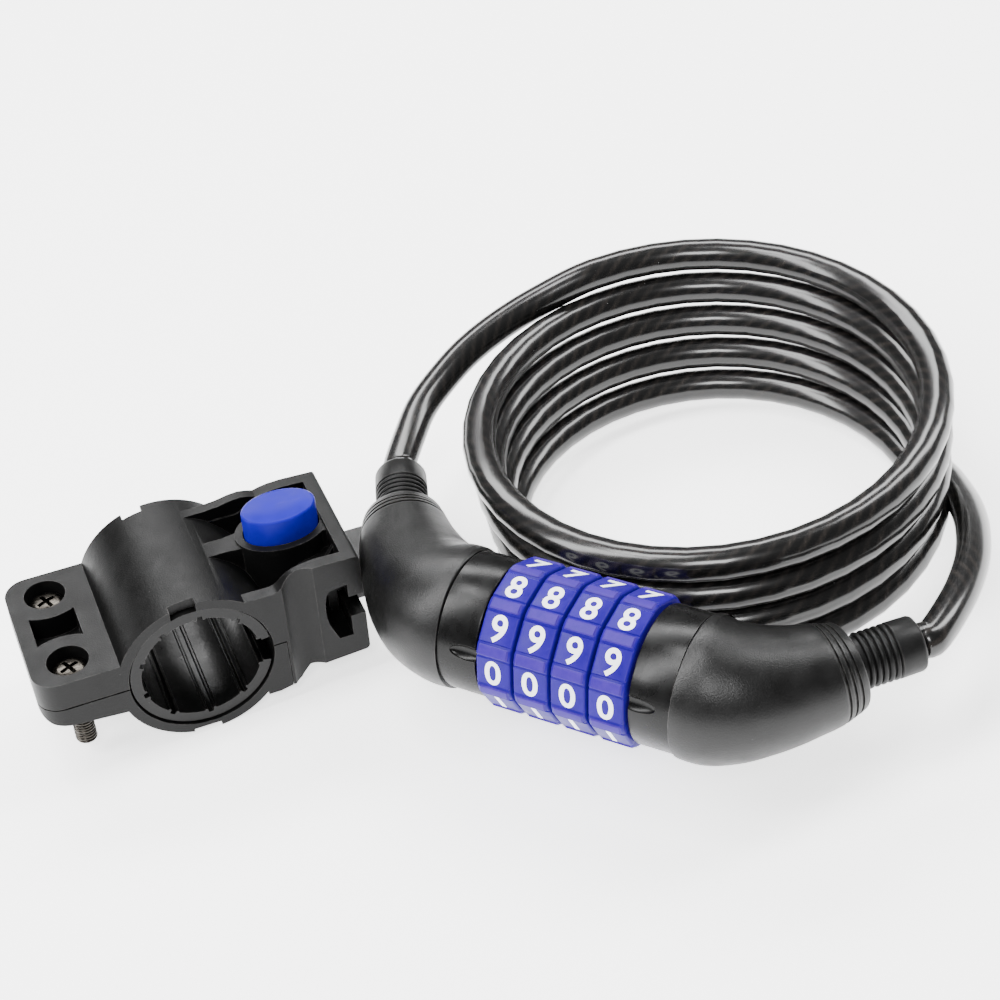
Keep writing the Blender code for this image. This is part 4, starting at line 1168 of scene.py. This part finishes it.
upper_half = join_ring_and_tube(block_solid())
print("upper half, solid:", len(upper_half.data.polygons), "faces")

# %% [markdown]
# ## Upper half: what is open
# All openings are cut last, so that they go clean through whatever was joined before: the
# bore, the button's well with its spring hole, the T-slot, the latch's shaft, the screw holes
# with their counterbores, the recess between the screws, and a notch at each end of the ring.

# %% Upper half: what is open
WELL_PLAY = 0.35 * MM
WAIST_R, WAIST_BOW, WAIST_ANGLE = 11.4 * MM, 15.0 * MM, 62.3
HALF_EDGE, LINER_EDGE, LUG_EDGE = 0.32 * MM, 0.12 * MM, 0.25 * MM


def cut_latch_and_slot(upper):
    well = oval(BUTTON_X, BUTTON_Y, BUTTON_A + WELL_PLAY, BUTTON_B + WELL_PLAY)
    cut(upper, prism(well, 13.6 * MM, 30 * MM, "Z"))
    cut(upper, cylinder(SPRING_X, BUTTON_Y, 3.4 * MM, 20 * MM, 3.0 * MM, 32))
    cut(upper, prism(slot_outline(), -BEYOND, BLOCK_DEPTH + BEYOND))
    cut(upper, box((27.9 * MM, 14.0 * MM, -8.7 * MM), (31.0 * MM, 22.4 * MM, 15 * MM)))
    cut(upper, box((30.5 * MM, 14.0 * MM, -8.7 * MM), (35.4 * MM, 22.4 * MM, -3.5 * MM)))


def cut_ear(upper):
    for y in SCREW_YS:
        cut(upper, cylinder(SCREW_X, y, -1 * MM, 12 * MM, SCREW_HOLE_R, 40))
        cut(upper, cylinder(SCREW_X, y, 2.6 * MM, 12 * MM, 4.8 * MM))
    middle = (SCREW_YS[0] + SCREW_YS[1]) / 2
    near, far = 180 - WAIST_ANGLE, WAIST_ANGLE
    waist = arc(SCREW_X, middle - WAIST_BOW, WAIST_R, near, far, 12)
    waist += arc(SCREW_X, middle + WAIST_BOW, WAIST_R, -far, -near, 12)
    cut(upper, prism(waist, 1.6 * MM, 12 * MM, "Z"))


def make_upper(upper):
    cut(upper, prism(oval(0, 0, BORE_R, BORE_R, 144), -BEYOND, RING_DEPTH + BEYOND))
    cut_latch_and_slot(upper)
    cut_ear(upper)
    cut(upper, box((-4.9 * MM, -BEYOND, 16.2 * MM), (1.1 * MM, 2.0 * MM, 22 * MM)))
    rear = RING_DEPTH - 2.0 * MM
    cut(upper, box((-6.6 * MM, rear, 11.0 * MM), (-1.8 * MM, RING_DEPTH + BEYOND, 22 * MM)))
    round_edges(upper, HALF_EDGE)
    upper.data.transform(BRACKET)
    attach(upper, "bracket")
    return upper


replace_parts(make_upper(upper_half), "clamp_upper")
print("upper half, finished:", len(upper_half.data.polygons), "faces")

# %% [markdown]
# ## Lower half
# The lower half is the other half of the ring and of the ear, with pockets for the screws'
# nuts. A cheek closes it against the block. The ear's round corners are cut away by two
# wedges, because its underside is a curve of its own and can't be drawn from above.

# %% Lower half
LOWER_CORNER_R = 3.5 * MM


def make_lower():
    lower = add("clamp_bottom", prism(half_disc(RING_R, False), 0, RING_DEPTH), BRACKET_BLACK)
    low, r = EAR_BOTTOM, LOWER_CORNER_R
    ear = [(EAR_ROOT, -SPLIT), (EAR_LEFT, -SPLIT)] + arc(EAR_LEFT + r, low + 4.2 * MM, r, 180, 262, 8)
    ear += [(-31 * MM, low), (EAR_ROOT, low - 1.4 * MM)]
    cut(lower, prism(ear, 0.0, RING_DEPTH), operation="UNION")
    cheek = [(14.5 * MM, -SPLIT)] + mm((14.0, -14.6), (17.0, -14.6), (20.1, -13.9)) + [(20.1 * MM, -SPLIT)]
    cut(lower, prism(cheek, 0.0, BLOCK_DEPTH), operation="UNION")
    cut(lower, prism(oval(0, 0, BORE_R, BORE_R, 144), -BEYOND, RING_DEPTH + BEYOND))
    corner, outside = EAR_CORNER_R, EAR_LEFT - BEYOND
    for y, y_out, last in ((corner, -BEYOND, 270), (RING_DEPTH - corner, RING_DEPTH + BEYOND, 90)):
        bend = arc(EAR_LEFT + corner, y, corner, 180, last, 12)
        wedge = [(outside, y), (EAR_LEFT, y)] + bend[1:] + [(EAR_LEFT + corner, y_out), (outside, y_out)]
        cut(lower, prism(wedge, -12 * MM, 2 * MM, "Z"))
    for y in SCREW_YS:
        cut(lower, cylinder(SCREW_X, y, -12 * MM, 2 * MM, SCREW_HOLE_R, 40))
        cut(lower, cylinder(SCREW_X, y, -12 * MM, -1.9 * MM, 4.6 * MM, 6))
    cut(lower, box((-4.6 * MM, -BEYOND, -22 * MM), (1.9 * MM, 2.0 * MM, -18.2 * MM)))
    round_edges(lower, HALF_EDGE)
    lower.data.transform(BRACKET)
    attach(lower, "bracket")
    return lower


lower_half = make_lower()
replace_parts(lower_half, "clamp_lower")
print("lower half:", len(lower_half.data.polygons), "faces")

# %% [markdown]
# ## Liner
# A soft split sleeve lines the bore and grips the post with nine long pads, each with a ridge
# along both its sides. The section is the same all the way, so it is one outline, with the pads
# worked out by a loop, drawn out to the sleeve's length.

# %% Liner
LINER_FIRST, LINER_LAST, PADS = 9.0, 345.0, 9
LINER_R, GROOVE_R, PAD_R = 16.6, 14.7, 14.0
LINER_FRONT, LINER_BACK = 0.6 * MM, 37.6 * MM
# share of a pad's width, and radius in millimetres
PAD_PROFILE = ((0.0, GROOVE_R), (0.06, GROOVE_R), (0.08, 13.65), (0.14, 13.6), (0.16, PAD_R), (0.36, PAD_R),
               (0.52, PAD_R), (0.68, PAD_R), (0.84, PAD_R), (0.86, 13.6), (0.92, 13.65), (0.94, GROOVE_R))


def make_liner():
    first, last = LINER_FIRST, LINER_LAST
    inner = []
    for k in range(PADS):
        start = first + (last - first) * k / PADS
        wide = (last - first) / PADS
        for share, radius in PAD_PROFILE:
            turn = radians(start + wide * share)
            inner.append((radius * MM * cos(turn), radius * MM * sin(turn)))
    end, lip = radians(last), 14.6 * MM
    inner.append((lip * cos(end), lip * sin(end)))
    outline = inner + arc(0, 0, LINER_R * MM, last, first, 96)
    liner = add("clamp_lining", prism(outline, LINER_FRONT, LINER_BACK), LINER)
    round_edges(liner, LINER_EDGE, 2, 40.0)
    liner.data.transform(BRACKET)
    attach(liner, "bracket")
    return liner


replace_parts(make_liner(), "clamp_liner")
print("liner:", PADS, "pads")

# %% [markdown]
# ## Screws
# Two dark screws with domed heads and cross slots hold the halves together. Each is turned, the
# cross is two boxes cut into the head, and its thread is a wire wound round the shank.

# %% Screws
HEAD_LOW, HEAD_TOP = 2.9 * MM, 5.6 * MM
SHANK_R, THREAD_R = 2.15 * MM, 2.18 * MM
CROSS_ARM, CROSS_HALF, CROSS_TURN = 2.3 * MM, 0.5 * MM, radians(24.0)


def make_screw(name, y):
    profile = [(-17.1 * MM, 1.7 * MM), (-16.4 * MM, SHANK_R), (HEAD_LOW, SHANK_R), (HEAD_LOW, 4.1 * MM),
               (HEAD_LOW + 0.3 * MM, 4.25 * MM)]
    profile += [(HEAD_TOP - down * MM, radius * MM)
                for down, radius in ((1.1, 4.2), (0.5, 3.6), (0.15, 2.6), (0.0, 1.2))]
    screw = add(name, turned(profile, Vector((SCREW_X, y, 0)), Z_AXIS, 64), OXIDE, PLAIN, 30.0)
    turn = Matrix.Translation((SCREW_X, y, 0)) @ Matrix.Rotation(CROSS_TURN, 4, "Z")
    for a, b in ((CROSS_ARM, CROSS_HALF), (CROSS_HALF, CROSS_ARM)):
        cut(screw, box((-a, -b, HEAD_TOP - 1.6 * MM), (a, b, HEAD_TOP + 1 * MM)), turn)
    screw.data.transform(BRACKET)
    smooth(screw, 30.0)
    foot = BRACKET @ Matrix.Translation((SCREW_X, y, -16.7 * MM))
    thread = WIRE.grow(f"{name}_thread", seed_object(), foot, Radius=THREAD_R, Height=17.6 * MM, Turns=22.0,
                       Wire=0.36 * MM, Sides=6, Steps=24, Material=OXIDE)
    for piece in (screw, thread):
        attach(piece, "bracket")
    return screw


for y, place in zip(SCREW_YS, ("front", "rear")):
    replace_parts(make_screw(f"screw_{place}", y), f"clamp_screw_{place}")
print("screws:", len(SCREW_YS))

# %% [markdown]
# ## Button
# The blue oval button releases the lock. It is a loft of ovals that shrink over a rounded rim
# and dip a little in the middle. A round seat is cut in its underside for the spring's end.

# %% Button
# how much smaller than the widest oval, and height, both in millimetres
BUTTON_RINGS = ((0.4, 16.4), (0.0, 16.8), (0.0, 24.2), (0.12, 24.55), (0.4, 24.75), (0.8, 24.72),
                (2.5, 24.5), (4.5, 24.35))


def make_button():
    rings = []
    for shrink, z in BUTTON_RINGS:
        ring = oval(BUTTON_X, BUTTON_Y, BUTTON_A - shrink * MM, BUTTON_B - shrink * MM)
        rings.append([Vector((x, y, z * MM)) for x, y in ring])
    button = add("button_cap", loft(rings), BUTTON_BLUE, BRACKET)
    cut(button, cylinder(SPRING_X, BUTTON_Y, 10 * MM, 19 * MM, 2.9 * MM), BRACKET)
    smooth(button, 40.0)
    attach(button, "release")
    return button


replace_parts(make_button(), "release_button")
print("button:", round(2 * BUTTON_A / MM, 1), "by", round(2 * BUTTON_B / MM, 1), "mm")

# %% [markdown]
# ## Lug
# The lock hangs from the bracket by a T-shaped lug on its left elbow. Its outline follows the
# slot's with a little play all round. The elbow's own loft, slightly thinner, is cut out of
# it, so that the lug meets the round elbow without a gap.

# %% Lug
LUG_PLAY = 0.4 * MM
LUG_FRONT, LUG_BACK = 9.0 * MM, 20.0 * MM
ELBOW_OVERLAP = 0.3 * MM


def lug_outline():
    left, right = SLOT_LEFT, SLOT_RIGHT - LUG_PLAY
    neck_low, neck_top = NECK_LOW + LUG_PLAY, NECK_TOP - LUG_PLAY
    face, back, pad_low, pad_top = BLOCK_RIGHT + GAP, BLOCK_RIGHT + 8 * MM, -2.0 * MM, 10.0 * MM
    foot = SLOT_LOW + LUG_PLAY
    return [(left + 2.9 * MM, foot), (right, foot), (right, neck_low), (face, neck_low), (face, pad_low),
            (back, pad_low), (back, pad_top), (face, pad_top), (face, neck_top), (right, neck_top),
            (right, SLOT_TOP - LUG_PLAY - 0.3 * MM), (left + 2.2 * MM, SLOT_TOP - 1.4 * MM)]


def make_lug():
    lug = add("lug_plate", prism(lug_outline(), LUG_FRONT, LUG_BACK), SATIN)
    points = [Vector((x * MM, y * MM, 0)) for x, y, _ in LEFT_ELBOW]
    radii = [r * MM - ELBOW_OVERLAP for _, _, r in LEFT_ELBOW]
    cut(lug, loft(bent_rings(points, radii, 64)), BRACKET.inverted() @ LOCK)
    round_edges(lug, LUG_EDGE)
    lug.data.transform(BRACKET)
    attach(lug, "lock")
    return lug


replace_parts(make_lug(), "mounting_lug")
print("lug:", round((LUG_BACK - LUG_FRONT) / MM, 1), "mm long")

# %% [markdown] ## Springs One spring pushes the button up. The other spring lies in the barrel,
# where it serves when the number is set. Both are wound wire from the same tree as the threads.

# %% Springs
SPRING_FOOT, SPRING_ANCHOR = 4.2 * MM, 3.9 * MM
spring_place = BRACKET @ Matrix.Translation((SPRING_X, BUTTON_Y, SPRING_FOOT))
button_coil = WIRE.grow("button_coil", seed_object(), spring_place, Radius=1.9 * MM, Height=14.2 * MM,
                        Turns=6.0, Wire=0.3 * MM, Sides=10, Steps=28, Material=ZINC)
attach(button_coil, "bracket")
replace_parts(button_coil, "button_spring")
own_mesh(button_coil)

core_place = LOCK @ Matrix.Translation((-34.2 * MM, 0, 0)) @ Matrix.Rotation(pi / 2, 4, "Y")
core_coil = WIRE.grow("core_coil", seed_object(), core_place, Radius=8.3 * MM, Height=4.6 * MM,
                      Turns=4.0, Wire=0.55 * MM, Sides=10, Steps=40, Material=ZINC)
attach(core_coil, "lock")
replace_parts(core_coil, "reset_spring")
print("springs: button_coil and core_coil")

# %% [markdown]
# ## Inner parts
# The parts inside are not seen, so they keep the CAD model's shapes and only take a finish:
# bright zinc for the code wheels, the bolt and the nuts, dark steel for the pin, and grey
# plastic for the latch, whose edge shows in the slot.

# %% Inner parts
PLATED = ["core_tube", "core_nut", "locking_bolt", "ferrule_left", "ferrule_right",
          "clamp_nut_front", "clamp_nut_rear"]
PLATED += [f"code_wheel_{k}" for k in range(1, 5)]
for names, mat in ((PLATED, ZINC), (["bolt_pin"], OXIDE), (["release_latch"], LATCH_GREY)):
    for name in names:
        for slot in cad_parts[name].material_slots:
            slot.material = mat
print("inner parts:", len(PLATED) + 2)
